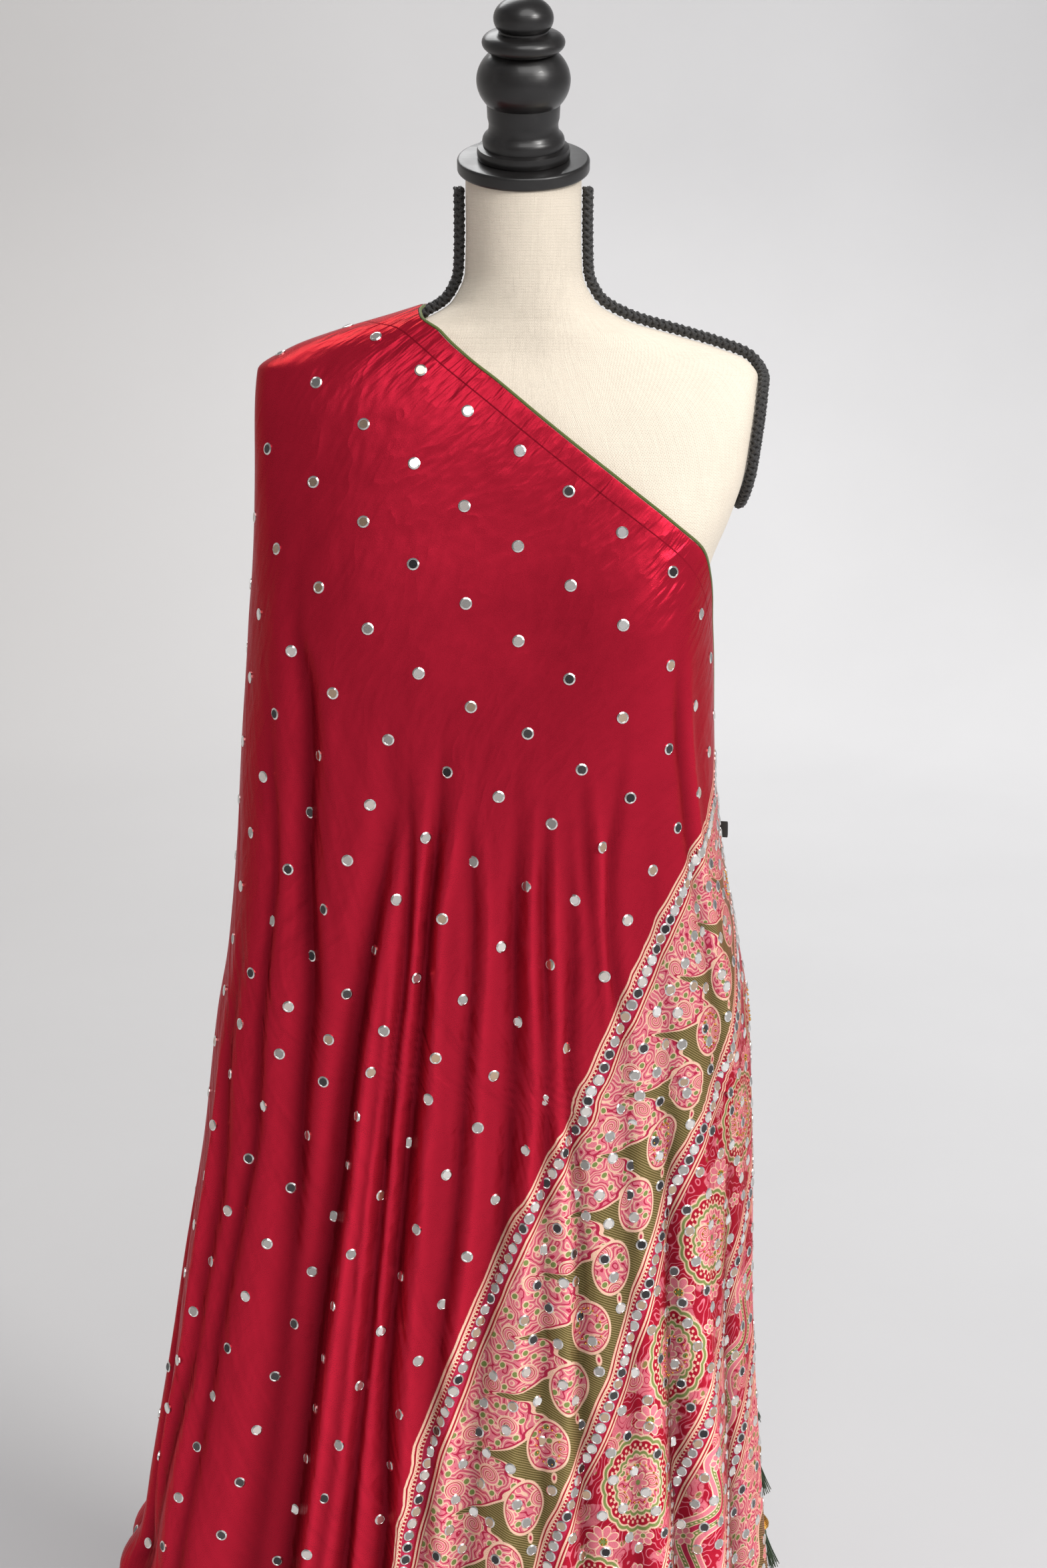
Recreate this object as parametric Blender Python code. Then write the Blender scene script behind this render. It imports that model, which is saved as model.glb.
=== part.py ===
# Draped saree on a limbless dress form with a turned neck finial, a pole and a round base.
# Units are metres. +Z is up, the front faces -Y, and the origin is on the floor under the pole.
# Angles go round the body: 0 is the front, +90 the viewer's right, -90 the viewer's left.

import math

import bmesh
import bpy
import numpy as np
from mathutils import Matrix, Vector

# Driving sizes of the cloth
CLOTH_WALL = 0.0015
SEAM_GAP = 0.0004
LEFT_SEAM_HALF_GAP = 0.00056
PIPING_RADIUS = 0.0012

# Gap left between solids that rest on each other
REST_GAP = 0.0003

# Driving sizes of the form and its stand
ROPE_RADIUS = 0.004
ROPE_SEAT = 0.0008
NECK_TOP_Z = 1.511
NECK_TILT = math.radians(20.0)
NECK_LEAN = -0.016
DISC_RADIUS = 0.0485
DISC_THICK = 0.010
DISC_RIM = 0.002
POLE_RADIUS = 0.015
BASE_RADIUS = 0.165
BASE_THICK = 0.022
BASE_RIM = 0.008
BASE_BOSS = ((0.034, 0.006), (0.026, 0.020))
TORSO_BOTTOM_Z = 0.760
ARM_PLATE_Z = 1.317
ARM_PLATE_HALF_HEIGHT = 0.049
ARM_PLATE_HALF_DEPTH = 0.040
ARM_PLATE_STEPS = 14
ROPE_RIDGE_ROWS = (
    1.499, 1.480, 1.455, 1.443, 1.433, 1.424, 1.415, 1.408, 1.402, 1.397, 1.391, 1.386, 1.380, 1.375,
    1.370,
)

# Radius and height of the finial's stepped foot, then centre radius, centre height, radius and
# height of its rounded mouldings
FINIAL_FOOT = (
    (0.0, 0.0), (0.0333, 0.0), (0.0340, 0.0035), (0.0333, 0.0075), (0.0295, 0.0085),
    (0.0300, 0.0125), (0.0285, 0.0165), (0.0262, 0.0185), (0.0252, 0.0240), (0.0262, 0.0290),
)
FINIAL_BALL = (0.0, 0.0555, 0.0338, 0.0270)
FINIAL_COLLAR = (0.0205, 0.0820, 0.0092, 0.0066)
FINIAL_NECK = (0.0175, 0.0900)
FINIAL_KNOB = (0.0, 0.0985, 0.0214, 0.0150)

# Height, half-width, front, back, bust swell and squareness of the form's sections
TORSO = (
    (0.760, 0.146, 0.102, 0.108, 0.000, 2.2),
    (0.800, 0.157, 0.108, 0.118, 0.000, 2.2),
    (0.860, 0.158, 0.108, 0.116, 0.000, 2.2),
    (0.940, 0.138, 0.098, 0.098, 0.000, 2.2),
    (1.020, 0.120, 0.090, 0.084, 0.000, 2.2),
    (1.060, 0.119, 0.092, 0.083, 0.000, 2.2),
    (1.110, 0.125, 0.098, 0.090, 0.006, 2.3),
    (1.150, 0.131, 0.103, 0.098, 0.014, 2.3),
    (1.180, 0.135, 0.104, 0.102, 0.017, 2.4),
    (1.220, 0.142, 0.101, 0.105, 0.011, 2.6),
    (1.260, 0.157, 0.094, 0.105, 0.004, 3.0),
    (1.300, 0.169, 0.084, 0.100, 0.000, 3.5),
    (1.340, 0.175, 0.070, 0.086, 0.000, 3.8),
    (1.362, 0.176, 0.057, 0.068, 0.000, 3.4),
    (1.374, 0.168, 0.050, 0.057, 0.000, 3.0),
    (1.383, 0.146, 0.047, 0.052, 0.000, 2.5),
    (1.393, 0.112, 0.046, 0.050, 0.000, 2.2),
    (1.403, 0.078, 0.046, 0.049, 0.000, 2.0),
    (1.418, 0.053, 0.046, 0.048, 0.000, 2.0),
    (1.440, 0.0435, 0.046, 0.047, 0.000, 2.0),
    (1.475, 0.0425, 0.045, 0.046, 0.000, 2.0),
    (1.511, 0.0425, 0.044, 0.045, 0.000, 2.0),
)
TORSO_ROWS = (
    0.760, 0.765, 0.800, 0.870, 0.950, 1.030, 1.100, 1.150, 1.180, 1.215, 1.255, 1.295, 1.330,
    1.352, 1.364, 1.372, 1.380, 1.388, 1.396, 1.404, 1.413, 1.422, 1.431, 1.442, 1.475, 1.5107,
)
TORSO_COLUMNS = 36
BUST_ANGLE = 34.0
BUST_SPREAD = 19.0
LEAN_START_Z = 1.405
TILT_START_Z = 1.440

# Height, left, right, front, back, bust swell and squareness of the outer drape's sections
DRAPE = (
    (0.030, 0.350, 0.226, 0.208, 0.215, 0.000, 2.0),
    (0.200, 0.352, 0.216, 0.198, 0.205, 0.000, 2.0),
    (0.356, 0.348, 0.207, 0.186, 0.195, 0.000, 2.0),
    (0.390, 0.329, 0.204, 0.182, 0.192, 0.000, 2.0),
    (0.456, 0.316, 0.199, 0.176, 0.187, 0.000, 2.0),
    (0.552, 0.298, 0.193, 0.168, 0.180, 0.000, 2.0),
    (0.640, 0.283, 0.189, 0.161, 0.173, 0.000, 2.0),
    (0.753, 0.261, 0.187, 0.153, 0.165, 0.000, 2.0),
    (0.862, 0.246, 0.182, 0.146, 0.153, 0.000, 2.1),
    (0.915, 0.236, 0.173, 0.142, 0.145, 0.000, 2.2),
    (1.006, 0.226, 0.156, 0.136, 0.130, 0.000, 2.3),
    (1.085, 0.220, 0.149, 0.131, 0.122, 0.004, 2.4),
    (1.150, 0.214, 0.147, 0.124, 0.118, 0.010, 2.5),
    (1.185, 0.211, 0.146, 0.117, 0.117, 0.014, 2.6),
    (1.221, 0.207, 0.149, 0.112, 0.116, 0.010, 2.8),
    (1.260, 0.204, 0.164, 0.103, 0.115, 0.005, 3.1),
    (1.300, 0.202, 0.177, 0.093, 0.110, 0.001, 3.5),
    (1.340, 0.201, 0.183, 0.080, 0.097, 0.000, 3.7),
    (1.368, 0.199, 0.184, 0.068, 0.080, 0.000, 3.3),
    (1.384, 0.1745, 0.160, 0.061, 0.068, 0.000, 2.8),
    (1.397, 0.1385, 0.130, 0.058, 0.063, 0.000, 2.4),
    (1.409, 0.0970, 0.095, 0.057, 0.061, 0.000, 2.2),
    (1.419, 0.0650, 0.065, 0.057, 0.060, 0.000, 2.0),
)

# Height, half-width, front, back and fold depth of the wrapped skirt's sections
SKIRT = (
    (0.022, 0.212, 0.188, 0.190, 0.013),
    (0.200, 0.200, 0.168, 0.178, 0.011),
    (0.400, 0.185, 0.150, 0.162, 0.008),
    (0.600, 0.174, 0.134, 0.148, 0.005),
    (0.750, 0.168, 0.124, 0.136, 0.003),
    (0.860, 0.1645, 0.117, 0.124, 0.001),
    (0.940, 0.1450, 0.1060, 0.1060, 0.000),
    (1.010, 0.1262, 0.0963, 0.0908, 0.000),
    (1.045, 0.1240, 0.0960, 0.0890, 0.000),
)
SKIRT_ROWS = (1.045, 1.000, 0.930, 0.860, 0.760, 0.640, 0.500, 0.340, 0.180, 0.022)
SKIRT_SQUARENESS = 2.2
SKIRT_WAVES = 13
WAVE_DRIFT = 0.6
FRONT_PLEATS = 36
PLEAT_SPREAD = 32.0

# Height and angle of the upper selvedge, from the neck down to the pallu's pinned corner
FRONT_SELVEDGE = (
    (1.415, -74.0),
    (1.409, -50.0),
    (1.397, -25.3),
    (1.377, -11.8),
    (1.341, 2.2),
    (1.299, 19.1),
    (1.270, 31.0),
    (1.256, 37.4),
    (1.242, 45.5),
    (1.228, 52.6),
    (1.214, 59.2),
    (1.190, 70.0),
    (1.150, 81.0),
    (1.070, 88.0),
    (0.930, 90.5),
    (0.880, 96.0),
    (0.840, 108.0),
    (0.800, 128.0),
    (0.615, 111.0),
    (0.430, 93.0),
    (0.250, 70.0),
    (0.090, 46.0),
)
CORNER_Z = 0.800
CORNER_REACH = 0.005
CORNER_ANGLE = 128.0
CORNER_SPREAD = 17.0
CORNER_SPREAD_Z = 0.045

# Where the back stretch is drawn in to the wrapped skirt behind the hip
HUG_ANGLE = -226.0
HUG_SPREAD = 26.0
HUG_TOP_Z = 0.960
HUG_FADE_Z = 0.110
HUG_GAP = 0.0008

# Height and angle of the line where the printed pallu begins
PALLU_START = (
    (1.064, 88.0),
    (1.048, 72.0),
    (1.023, 58.0),
    (1.003, 46.5),
    (0.948, 29.5),
    (0.873, 18.0),
    (0.831, 10.0),
    (0.744, -2.0),
    (0.663, -10.0),
    (0.567, -16.5),
    (0.454, -19.4),
    (0.330, -22.0),
    (0.200, -24.5),
)

# Angle and height of the lower selvedge, from the back over the left side to the pallu's end
HEM = (
    (-225.0, 0.035),
    (-180.0, 0.150),
    (-130.0, 0.270),
    (-90.0, 0.356),
    (-60.0, 0.300),
    (-30.0, 0.215),
    (0.0, 0.150),
    (30.0, 0.105),
    (46.0, 0.090),
    (130.0, 0.085),
)

# Height and angle of the back stretch's upper edge, down to where it leaves the skirt wrap
BACK_EDGE = (
    (1.415, -118.0),
    (1.409, -133.0),
    (1.397, -146.0),
    (1.368, -160.0),
    (1.320, -172.0),
    (1.250, -184.0),
    (1.180, -195.0),
    (1.110, -206.0),
    (1.050, -216.0),
    (1.000, -223.0),
    (0.940, -226.0),
    (0.030, -226.0),
)

# Upper angle and height, angle low down, height of the drape there, depth out and width in degrees
FOLDS = (
    (-88.0, 0.80, -78.0, 0.45, -0.012, 3.5),
    (-70.0, 1.10, -62.0, 0.45, 0.010, 9.0),
    (-52.0, 1.27, -43.0, 0.45, -0.034, 7.0),
    (-24.0, 1.16, -33.0, 0.45, 0.016, 4.5),
    (-18.0, 1.13, -25.5, 0.45, -0.013, 3.0),
    (-15.0, 1.15, -19.5, 0.45, 0.008, 2.8),
    (-12.5, 1.10, -14.0, 0.45, -0.010, 3.0),
    (-8.0, 1.12, -8.5, 0.45, 0.007, 2.6),
    (-4.0, 1.08, -3.0, 0.45, -0.009, 3.2),
    (2.0, 1.12, 5.0, 0.45, 0.008, 3.6),
    (9.0, 1.06, 13.0, 0.45, -0.010, 3.8),
    (17.0, 1.14, 22.0, 0.45, 0.008, 4.0),
    (26.0, 1.05, 32.0, 0.45, 0.007, 4.2),
    (36.0, 1.10, 41.0, 0.45, -0.014, 3.6),
    (46.0, 1.00, 50.0, 0.45, 0.008, 4.2),
    (60.0, 0.95, 63.0, 0.45, -0.010, 5.0),
    (78.0, 0.95, 79.0, 0.45, 0.005, 5.0),
    (-112.0, 1.15, -108.0, 0.45, 0.012, 6.0),
    (-128.0, 1.20, -124.0, 0.45, -0.016, 6.0),
    (-143.0, 1.10, -141.0, 0.45, 0.012, 6.0),
    (-158.0, 1.18, -157.0, 0.45, -0.014, 5.5),
    (-171.0, 1.05, -172.0, 0.45, 0.010, 5.5),
    (-184.0, 1.10, -187.0, 0.45, -0.013, 5.5),
    (-197.0, 1.00, -201.0, 0.45, 0.008, 5.5),
)

FOLD_LOW_SHARE = 1.3
FOLD_START_WIDTH = 0.45
FOLD_RISE = 0.85

# Rows of the wall grids, closest where the shoulder turns over
SHOULDER_ROWS = (
    1.415, 1.409, 1.402, 1.394, 1.385, 1.375, 1.364, 1.348,
    1.325, 1.295, 1.265, 1.235, 1.205, 1.165, 1.120,
)
# Shares of the way from the underarm level to the lower selvedge; one passes the pinned corner
UNDERARM_Z = 1.070
LOWER_SHARES = (
    0.0, 0.03, 0.07, 0.12, 0.18, 0.23, 0.274, 0.33, 0.40, 0.47, 0.54, 0.61, 0.68, 0.76, 0.84, 0.92, 1.0,
)
FRONT_COLUMNS = 26
PALLU_COLUMNS = 18
BACK_COLUMNS = 20
SKIRT_COLUMNS = 44
SEAM_TURN = 0.17
PALLU_TIP_TURN = 1.2
BACK_PIPING_END_Z = 0.985

# Tassels on the pallu's end edge
TASSEL_COUNT = 12
TASSEL_FIRST_Z = 0.748
TASSEL_LAST_Z = 0.108
TASSEL_STEP = 0.0002
TASSEL_LEAN_STEP = math.radians(1.0)
BEAD_LENGTH = 0.018
BEAD_PROFILE = (
    (0.0, 0.0), (0.00465, 0.0004), (0.0075, 0.0045), (0.0069, 0.0080), (0.0041, 0.0140),
    (0.0018, BEAD_LENGTH), (0.0, BEAD_LENGTH),
)
# Radius of a whole tassel and the height above its bead's foot
TASSEL_SILHOUETTE = (
    (0.0018, BEAD_LENGTH), (0.0041, 0.0140), (0.0069, 0.0080), (0.0075, 0.0045), (0.0047, 0.0),
    (0.0045, -0.0060), (0.0080, -0.0200), (0.0110, -0.0380),
)
THREAD_LENGTH = 0.038
THREADS_PER_TASSEL = 12
BEAD_SIDES = 12
THREAD_CROWN_RADIUS = 0.0022
THREAD_HEAD_RADIUS = 0.0040
THREAD_HEAD_DROP = 0.006
THREAD_FAN_RADIUS = 0.0075
THREAD_FAN_SPREAD = 0.0035
TASSEL_CLEAR = 0.0004

# Blank tab sewn to the edge piping
TAB_Z = 1.008
TAB_LENGTH = 0.014
TAB_REACH = 0.0065
TAB_THICK = 0.0012
TAB_ROUND = 0.0004

COLOURS = {
    "crimson": (0.36, 0.012, 0.025, 1.0),
    "print": (0.58, 0.13, 0.16, 1.0),
    "moss": (0.10, 0.11, 0.025, 1.0),
    "linen": (0.85, 0.76, 0.65, 1.0),
    "black": (0.012, 0.012, 0.012, 1.0),
    "dark wood": (0.015, 0.014, 0.014, 1.0),
    "leaf thread": (0.03, 0.07, 0.025, 1.0),
    "gold": (0.60, 0.36, 0.09, 1.0),
    "steel": (0.45, 0.45, 0.46, 1.0),
}


def clear_scene():
    """Remove what the scene holds, so that the model starts empty."""
    for old in list(bpy.data.objects):
        bpy.data.objects.remove(old, do_unlink=True)


def material(name, colour, roughness, metallic=0.0):
    """Return one Principled material."""
    made = bpy.data.materials.new(name)
    made.use_nodes = True
    shader = made.node_tree.nodes["Principled BSDF"]
    shader.inputs["Base Color"].default_value = COLOURS[colour]
    shader.inputs["Roughness"].default_value = roughness
    shader.inputs["Metallic"].default_value = metallic
    return made


def read_rows(rows, key, column):
    """Read a column of a table at key with a smooth curve that doesn't overshoot."""
    table = sorted(rows)
    keys = [row[0] for row in table]
    values = [row[column] for row in table]
    key = min(max(key, keys[0]), keys[-1])
    spot = min(int(np.searchsorted(keys, key, side="right")) - 1, len(keys) - 2)
    spot = max(spot, 0)
    span = keys[spot + 1] - keys[spot]
    part = (key - keys[spot]) / span
    start = slope_at(keys, values, spot) * span
    end = slope_at(keys, values, spot + 1) * span
    return (
        values[spot] * (1 + 2 * part) * (1 - part) ** 2
        + start * part * (1 - part) ** 2
        + values[spot + 1] * part * part * (3 - 2 * part)
        + end * part * part * (part - 1)
    )


def slope_at(keys, values, spot):
    """Slope of the smooth curve at a row: the harmonic mean of both sides, or flat at a turn."""
    if spot == 0 or spot == len(keys) - 1:
        other = 1 if spot == 0 else spot - 1
        return (values[other] - values[spot]) / (keys[other] - keys[spot])
    before = (values[spot] - values[spot - 1]) / (keys[spot] - keys[spot - 1])
    after = (values[spot + 1] - values[spot]) / (keys[spot + 1] - keys[spot])
    if before * after <= 0:
        return 0.0
    return 2 * before * after / (before + after)


def ring(angle, side_width, front, back, squareness):
    """A point of a rounded-square section, as x and y."""
    turn = math.radians(angle)
    across = math.sin(turn)
    along = math.cos(turn)
    reach = (abs(across) ** squareness + abs(along) ** squareness) ** (-1.0 / squareness)
    depth = front if along > 0 else back
    return side_width * reach * across, -depth * reach * along


def bust_swell(angle, amount):
    """Two soft swells at the front of a section."""
    swell = 0.0
    for side in (-1, 1):
        off = (angle - side * BUST_ANGLE) / BUST_SPREAD
        swell += amount * math.exp(-off * off)
    return swell


def neck_lean(z):
    """The neck leans forward from its foot to its top."""
    part = max(0.0, (z - LEAN_START_Z) / (NECK_TOP_Z - LEAN_START_Z))
    return NECK_LEAN * part


def torso_point(angle, z):
    """A point on the form's linen surface."""
    width, front, back, bust, square = (read_rows(TORSO, z, column) for column in range(1, 6))
    x, y = ring(angle, width, front, back, square)
    lift = 1.0 + bust_swell(angle, bust) / front
    tilt = math.tan(NECK_TILT) * max(0.0, (z - TILT_START_Z) / (NECK_TOP_Z - TILT_START_Z))
    return Vector((x * lift, y * lift + neck_lean(z), z + tilt * y))


def smooth_step(part):
    """An even ramp from 0 to 1."""
    part = min(max(part, 0.0), 1.0)
    return part * part * (3 - 2 * part)


def fold_offset(angle, z):
    """How far the folds carry the drape out at this place."""
    total = 0.0
    for top_angle, top_z, low_angle, low_z, depth, width in FOLDS:
        part = (top_z - z) / (top_z - low_z)
        if part <= 0:
            continue
        part = min(part, FOLD_LOW_SHARE)
        centre = top_angle + (low_angle - top_angle) * part
        spread = width * (FOLD_START_WIDTH + (1.0 - FOLD_START_WIDTH) * part)
        off = (angle - centre) / spread
        total += depth * smooth_step(part * FOLD_RISE) * math.exp(-off * off)
    return total


def drape_point(angle, z):
    """A point on the outer face of the draped cloth."""
    row = [read_rows(DRAPE, z, column) for column in range(1, 7)]
    left, right, front, back, bust, square = row
    width = left if math.sin(math.radians(angle)) < 0 else right
    x, y = ring(angle, width, front, back, square)
    lift = 1.0 + bust_swell(angle, bust) / front
    base = Vector((x * lift, y * lift, z))
    turn = math.radians(angle)
    outward = Vector((math.sin(turn) / width, -math.cos(turn) / front, 0)).normalized()
    return base + outward * fold_offset(angle, z)


def skirt_envelope(angle, z):
    """The smooth form round the outermost folds of the wrapped skirt."""
    width, front, back = (read_rows(SKIRT, z, column) for column in range(1, 4))
    x, y = ring(angle, width, front, back, SKIRT_SQUARENESS)
    return Vector((x, y, z))


def skirt_point(angle, z):
    """A point on the outer face of the wrapped skirt."""
    turn = math.radians(angle)
    wave = math.cos(turn * SKIRT_WAVES + WAVE_DRIFT * math.sin(turn * 2)) - 1.0
    pleat_zone = math.exp(-((angle / PLEAT_SPREAD) ** 2))
    pleats = pleat_zone * (math.cos(turn * FRONT_PLEATS) - 1.0)
    offset = 0.5 * read_rows(SKIRT, z, 4) * (wave * (1 - pleat_zone) + pleats)
    return skirt_envelope(angle, z) + Vector((math.sin(turn), -math.cos(turn), 0)) * offset


def hugging(angle, z):
    """How far, from 0 to 1, the drape is drawn in to the skirt: at the hip behind, where it is
    wrapped, and at the pallu's pinned corner."""
    wrapped = 1.0 - smooth_step((angle - HUG_ANGLE) / HUG_SPREAD)
    wrapped *= 1.0 - smooth_step((z - HUG_TOP_Z) / HUG_FADE_Z)
    off = ((angle - CORNER_ANGLE) / CORNER_SPREAD) ** 2 + ((z - CORNER_Z) / CORNER_SPREAD_Z) ** 2
    return max(wrapped, math.exp(-off))


def cape_point(angle, z):
    """A point on the outer face of the drape, drawn in where it is wrapped or pinned."""
    free = drape_point(angle, z)
    share = hugging(angle, z)
    if share < 0.001:
        return free
    close = skirt_envelope(angle, z)
    outward = Vector((close.x, close.y, 0)).normalized()
    return free.lerp(close + outward * (CLOTH_WALL + HUG_GAP), share)


def hem_height(angle):
    """Height of the lower selvedge at an angle."""
    return read_rows(HEM, angle, 1)


def sheet_object(name, grid, look):
    """Make a wall from a grid of outer points, thickened inward."""
    mesh = bpy.data.meshes.new(name)
    shape = bmesh.new()
    verts = [[shape.verts.new(point) for point in row] for row in grid]
    for upper, lower in zip(verts, verts[1:]):
        for spot in range(len(upper) - 1):
            shape.faces.new((upper[spot], lower[spot], lower[spot + 1], upper[spot + 1]))
    shape.to_mesh(mesh)
    shape.free()
    made = finish_object(name, mesh, look)
    wall = made.modifiers.new("Cloth wall", "SOLIDIFY")
    wall.thickness = CLOTH_WALL
    wall.offset = -1.0
    wall.use_even_offset = False
    return made


def finish_object(name, mesh, look, sharp_angle=math.radians(50)):
    """Put a mesh in the scene under its name, with smooth faces."""
    mesh.materials.append(look)
    mesh.shade_smooth()
    mesh.set_sharp_from_angle(angle=sharp_angle)
    made = bpy.data.objects.new(name, mesh)
    bpy.context.collection.objects.link(made)
    return made


def selvedge(z):
    """Angle of the front's far edge: the upper selvedge, then the pallu's end edge."""
    return read_rows(FRONT_SELVEDGE, z, 1)


def pallu_start(z):
    """Angle of the line where the print begins."""
    return read_rows(PALLU_START, z, 1)


def pallu_tip(z):
    """Angle of the print's first point, just inside the selvedge."""
    return selvedge(z) - PALLU_TIP_TURN


def back_edge(z):
    """Angle of the back stretch's far edge."""
    return read_rows(BACK_EDGE, z, 1)


def height_of_row(share):
    """The height of a lower row as a function of the angle."""
    return lambda angle: UNDERARM_Z + (hem_height(angle) - UNDERARM_Z) * share


def edge_angle(edge, height, guide):
    """The angle where a row of slanting height meets an edge, found by a few passes."""
    angle = edge(guide)
    for _ in range(16):
        angle = 0.5 * angle + 0.5 * edge(height(angle))
    return angle


def row_points(start, end, columns, height):
    """The points of one grid row between two angles."""
    angles = [start + (end - start) * spot / columns for spot in range(columns + 1)]
    return [cape_point(angle, height(angle)) for angle in angles]


def left_seam_turn(z):
    """Half of the seam gap at the viewer's left, as a turn."""
    return math.degrees(LEFT_SEAM_HALF_GAP / read_rows(DRAPE, z, 1))


def front_grids():
    """Grids of the crimson front stretch and of the printed pallu, which share their rows."""
    front = []
    printed = []
    for z in SHOULDER_ROWS:
        seam = -90.0 + left_seam_turn(z)
        front.append(row_points(seam, selvedge(z), FRONT_COLUMNS, lambda angle, z=z: z))
    for share in LOWER_SHARES:
        height = height_of_row(share)
        inner = pallu_tip if share == 0.0 else pallu_start
        middle = edge_angle(inner, height, height(0.0))
        far = edge_angle(selvedge, height, height(100.0))
        seam = -90.0 + left_seam_turn(height(-90.0))
        front.append(row_points(seam, middle - SEAM_TURN, FRONT_COLUMNS, height))
        printed.append(row_points(middle + SEAM_TURN, far, PALLU_COLUMNS, height))
    return front, printed


def back_grid():
    """Grid of the stretch that comes up the back and over the shoulder."""
    grid = []
    for z in SHOULDER_ROWS:
        seam = -90.0 - left_seam_turn(z)
        grid.append(row_points(back_edge(z), seam, BACK_COLUMNS, lambda angle, z=z: z))
    for share in LOWER_SHARES:
        height = height_of_row(share)
        far = edge_angle(back_edge, height, height(-180.0))
        seam = -90.0 - left_seam_turn(height(-90.0))
        grid.append(row_points(far, seam, BACK_COLUMNS, height))
    return grid


def skirt(look):
    """The wrapped skirt, a ring of cloth pleated at the front."""
    mesh = bpy.data.meshes.new("saree_skirt_wrap")
    shape = bmesh.new()
    rings = []
    for z in SKIRT_ROWS:
        turns = (spot * 360.0 / SKIRT_COLUMNS - 180.0 for spot in range(SKIRT_COLUMNS))
        rings.append([shape.verts.new(skirt_point(angle, z)) for angle in turns])
    for upper, lower in zip(rings, rings[1:]):
        for spot in range(SKIRT_COLUMNS):
            after = (spot + 1) % SKIRT_COLUMNS
            shape.faces.new((upper[spot], lower[spot], lower[after], upper[after]))
    shape.to_mesh(mesh)
    shape.free()
    made = finish_object("saree_skirt_wrap", mesh, look)
    wall = made.modifiers.new("Cloth wall", "SOLIDIFY")
    wall.thickness = CLOTH_WALL
    wall.offset = -1.0
    return made


def edge_path(pairs, clear):
    """Points beside a sheet's edge, from pairs of (edge point, point further in)."""
    path = []
    for number, (place, inside) in enumerate(pairs):
        before = pairs[max(number - 1, 0)][0]
        after = pairs[min(number + 1, len(pairs) - 1)][0]
        along = (after - before).normalized()
        normal = along.cross(place - inside).normalized()
        if normal.dot(Vector((place.x, place.y, 0.02))) < 0:
            normal.negate()
        aside = along.cross(normal)
        if aside.dot(place - inside) < 0:
            aside.negate()
        path.append(place - normal * CLOTH_WALL / 2 + aside * clear)
    return path


def tube(name, path, radius, look, sides_step=1, closed=False):
    """A round tube with filled ends along a path."""
    curve = bpy.data.curves.new(name, "CURVE")
    curve.dimensions = "3D"
    curve.bevel_depth = radius
    curve.bevel_resolution = sides_step
    curve.use_fill_caps = not closed
    line = curve.splines.new("POLY")
    line.points.add(len(path) - 1)
    for point, place in zip(line.points, path):
        point.co = (place[0], place[1], place[2], 1.0)
    line.use_cyclic_u = closed
    line.use_smooth = True
    curve.materials.append(look)
    made = bpy.data.objects.new(name, curve)
    bpy.context.collection.objects.link(made)
    return made


def upper_edge(front, printed):
    """Pairs along the upper selvedge, from the neck to the pallu's pinned corner."""
    pairs = [(row[-1], row[-2]) for row in front[:len(SHOULDER_ROWS)]]
    pairs += [(row[-1], row[-2]) for row in printed if row[-1].z > CORNER_Z - CORNER_REACH]
    return pairs


def edge_pipings(front, printed, back, look):
    """The moss-green piping along the upper selvedge, front and back."""
    clear = PIPING_RADIUS + SEAM_GAP
    path = edge_path(upper_edge(front, printed), clear)
    tube("edge_piping_front", path, PIPING_RADIUS, look, 0)
    rows = [row for row in back if row[0].z > BACK_PIPING_END_Z]
    path = edge_path([(row[0], row[1]) for row in rows], clear)
    tube("edge_piping_back", path, PIPING_RADIUS, look, 0)


def blank_tab(front, printed, look):
    """A plain folded tab sewn to the piping at the viewer's right."""
    clear = 2 * PIPING_RADIUS + 2 * SEAM_GAP + TAB_REACH / 2
    pairs = upper_edge(front, printed)
    path = edge_path(pairs, clear)
    low = next(spot for spot, place in enumerate(path) if place.z < TAB_Z)
    part = (path[low - 1].z - TAB_Z) / (path[low - 1].z - path[low].z)
    centre = path[low - 1].lerp(path[low], part)
    along = (path[low] - path[low - 1]).normalized()
    edge = pairs[low - 1][0].lerp(pairs[low][0], part)
    aside = centre - edge
    aside = (aside - along * aside.dot(along)).normalized()
    mesh = bpy.data.meshes.new("edge_tab")
    shape = bmesh.new()
    bmesh.ops.create_cube(shape, size=1.0)
    bmesh.ops.scale(shape, vec=(TAB_REACH, TAB_LENGTH, TAB_THICK), verts=shape.verts)
    bmesh.ops.bevel(
        shape, geom=shape.edges[:], offset=TAB_ROUND, segments=1, profile=0.5, affect="EDGES"
    )
    turn = Matrix((aside, along, aside.cross(along))).transposed().to_4x4()
    shape.transform(Matrix.Translation(centre) @ turn)
    bmesh.ops.recalc_face_normals(shape, faces=shape.faces)
    shape.to_mesh(mesh)
    shape.free()
    return finish_object("edge_tab", mesh, look)


def torso(look):
    """The linen form, one smooth closed body from the hips to the neck."""
    mesh = bpy.data.meshes.new("form_torso")
    shape = bmesh.new()
    rings = []
    for z in TORSO_ROWS:
        turns = (spot * 360.0 / TORSO_COLUMNS - 180.0 for spot in range(TORSO_COLUMNS))
        rings.append([shape.verts.new(torso_point(angle, z)) for angle in turns])
    for lower, upper in zip(rings, rings[1:]):
        for spot in range(TORSO_COLUMNS):
            after = (spot + 1) % TORSO_COLUMNS
            shape.faces.new((lower[spot], lower[after], upper[after], upper[spot]))
    shape.faces.new(list(reversed(rings[0])))
    shape.faces.new(rings[-1])
    bmesh.ops.recalc_face_normals(shape, faces=shape.faces)
    shape.to_mesh(mesh)
    shape.free()
    return finish_object("form_torso", mesh, look)


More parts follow.
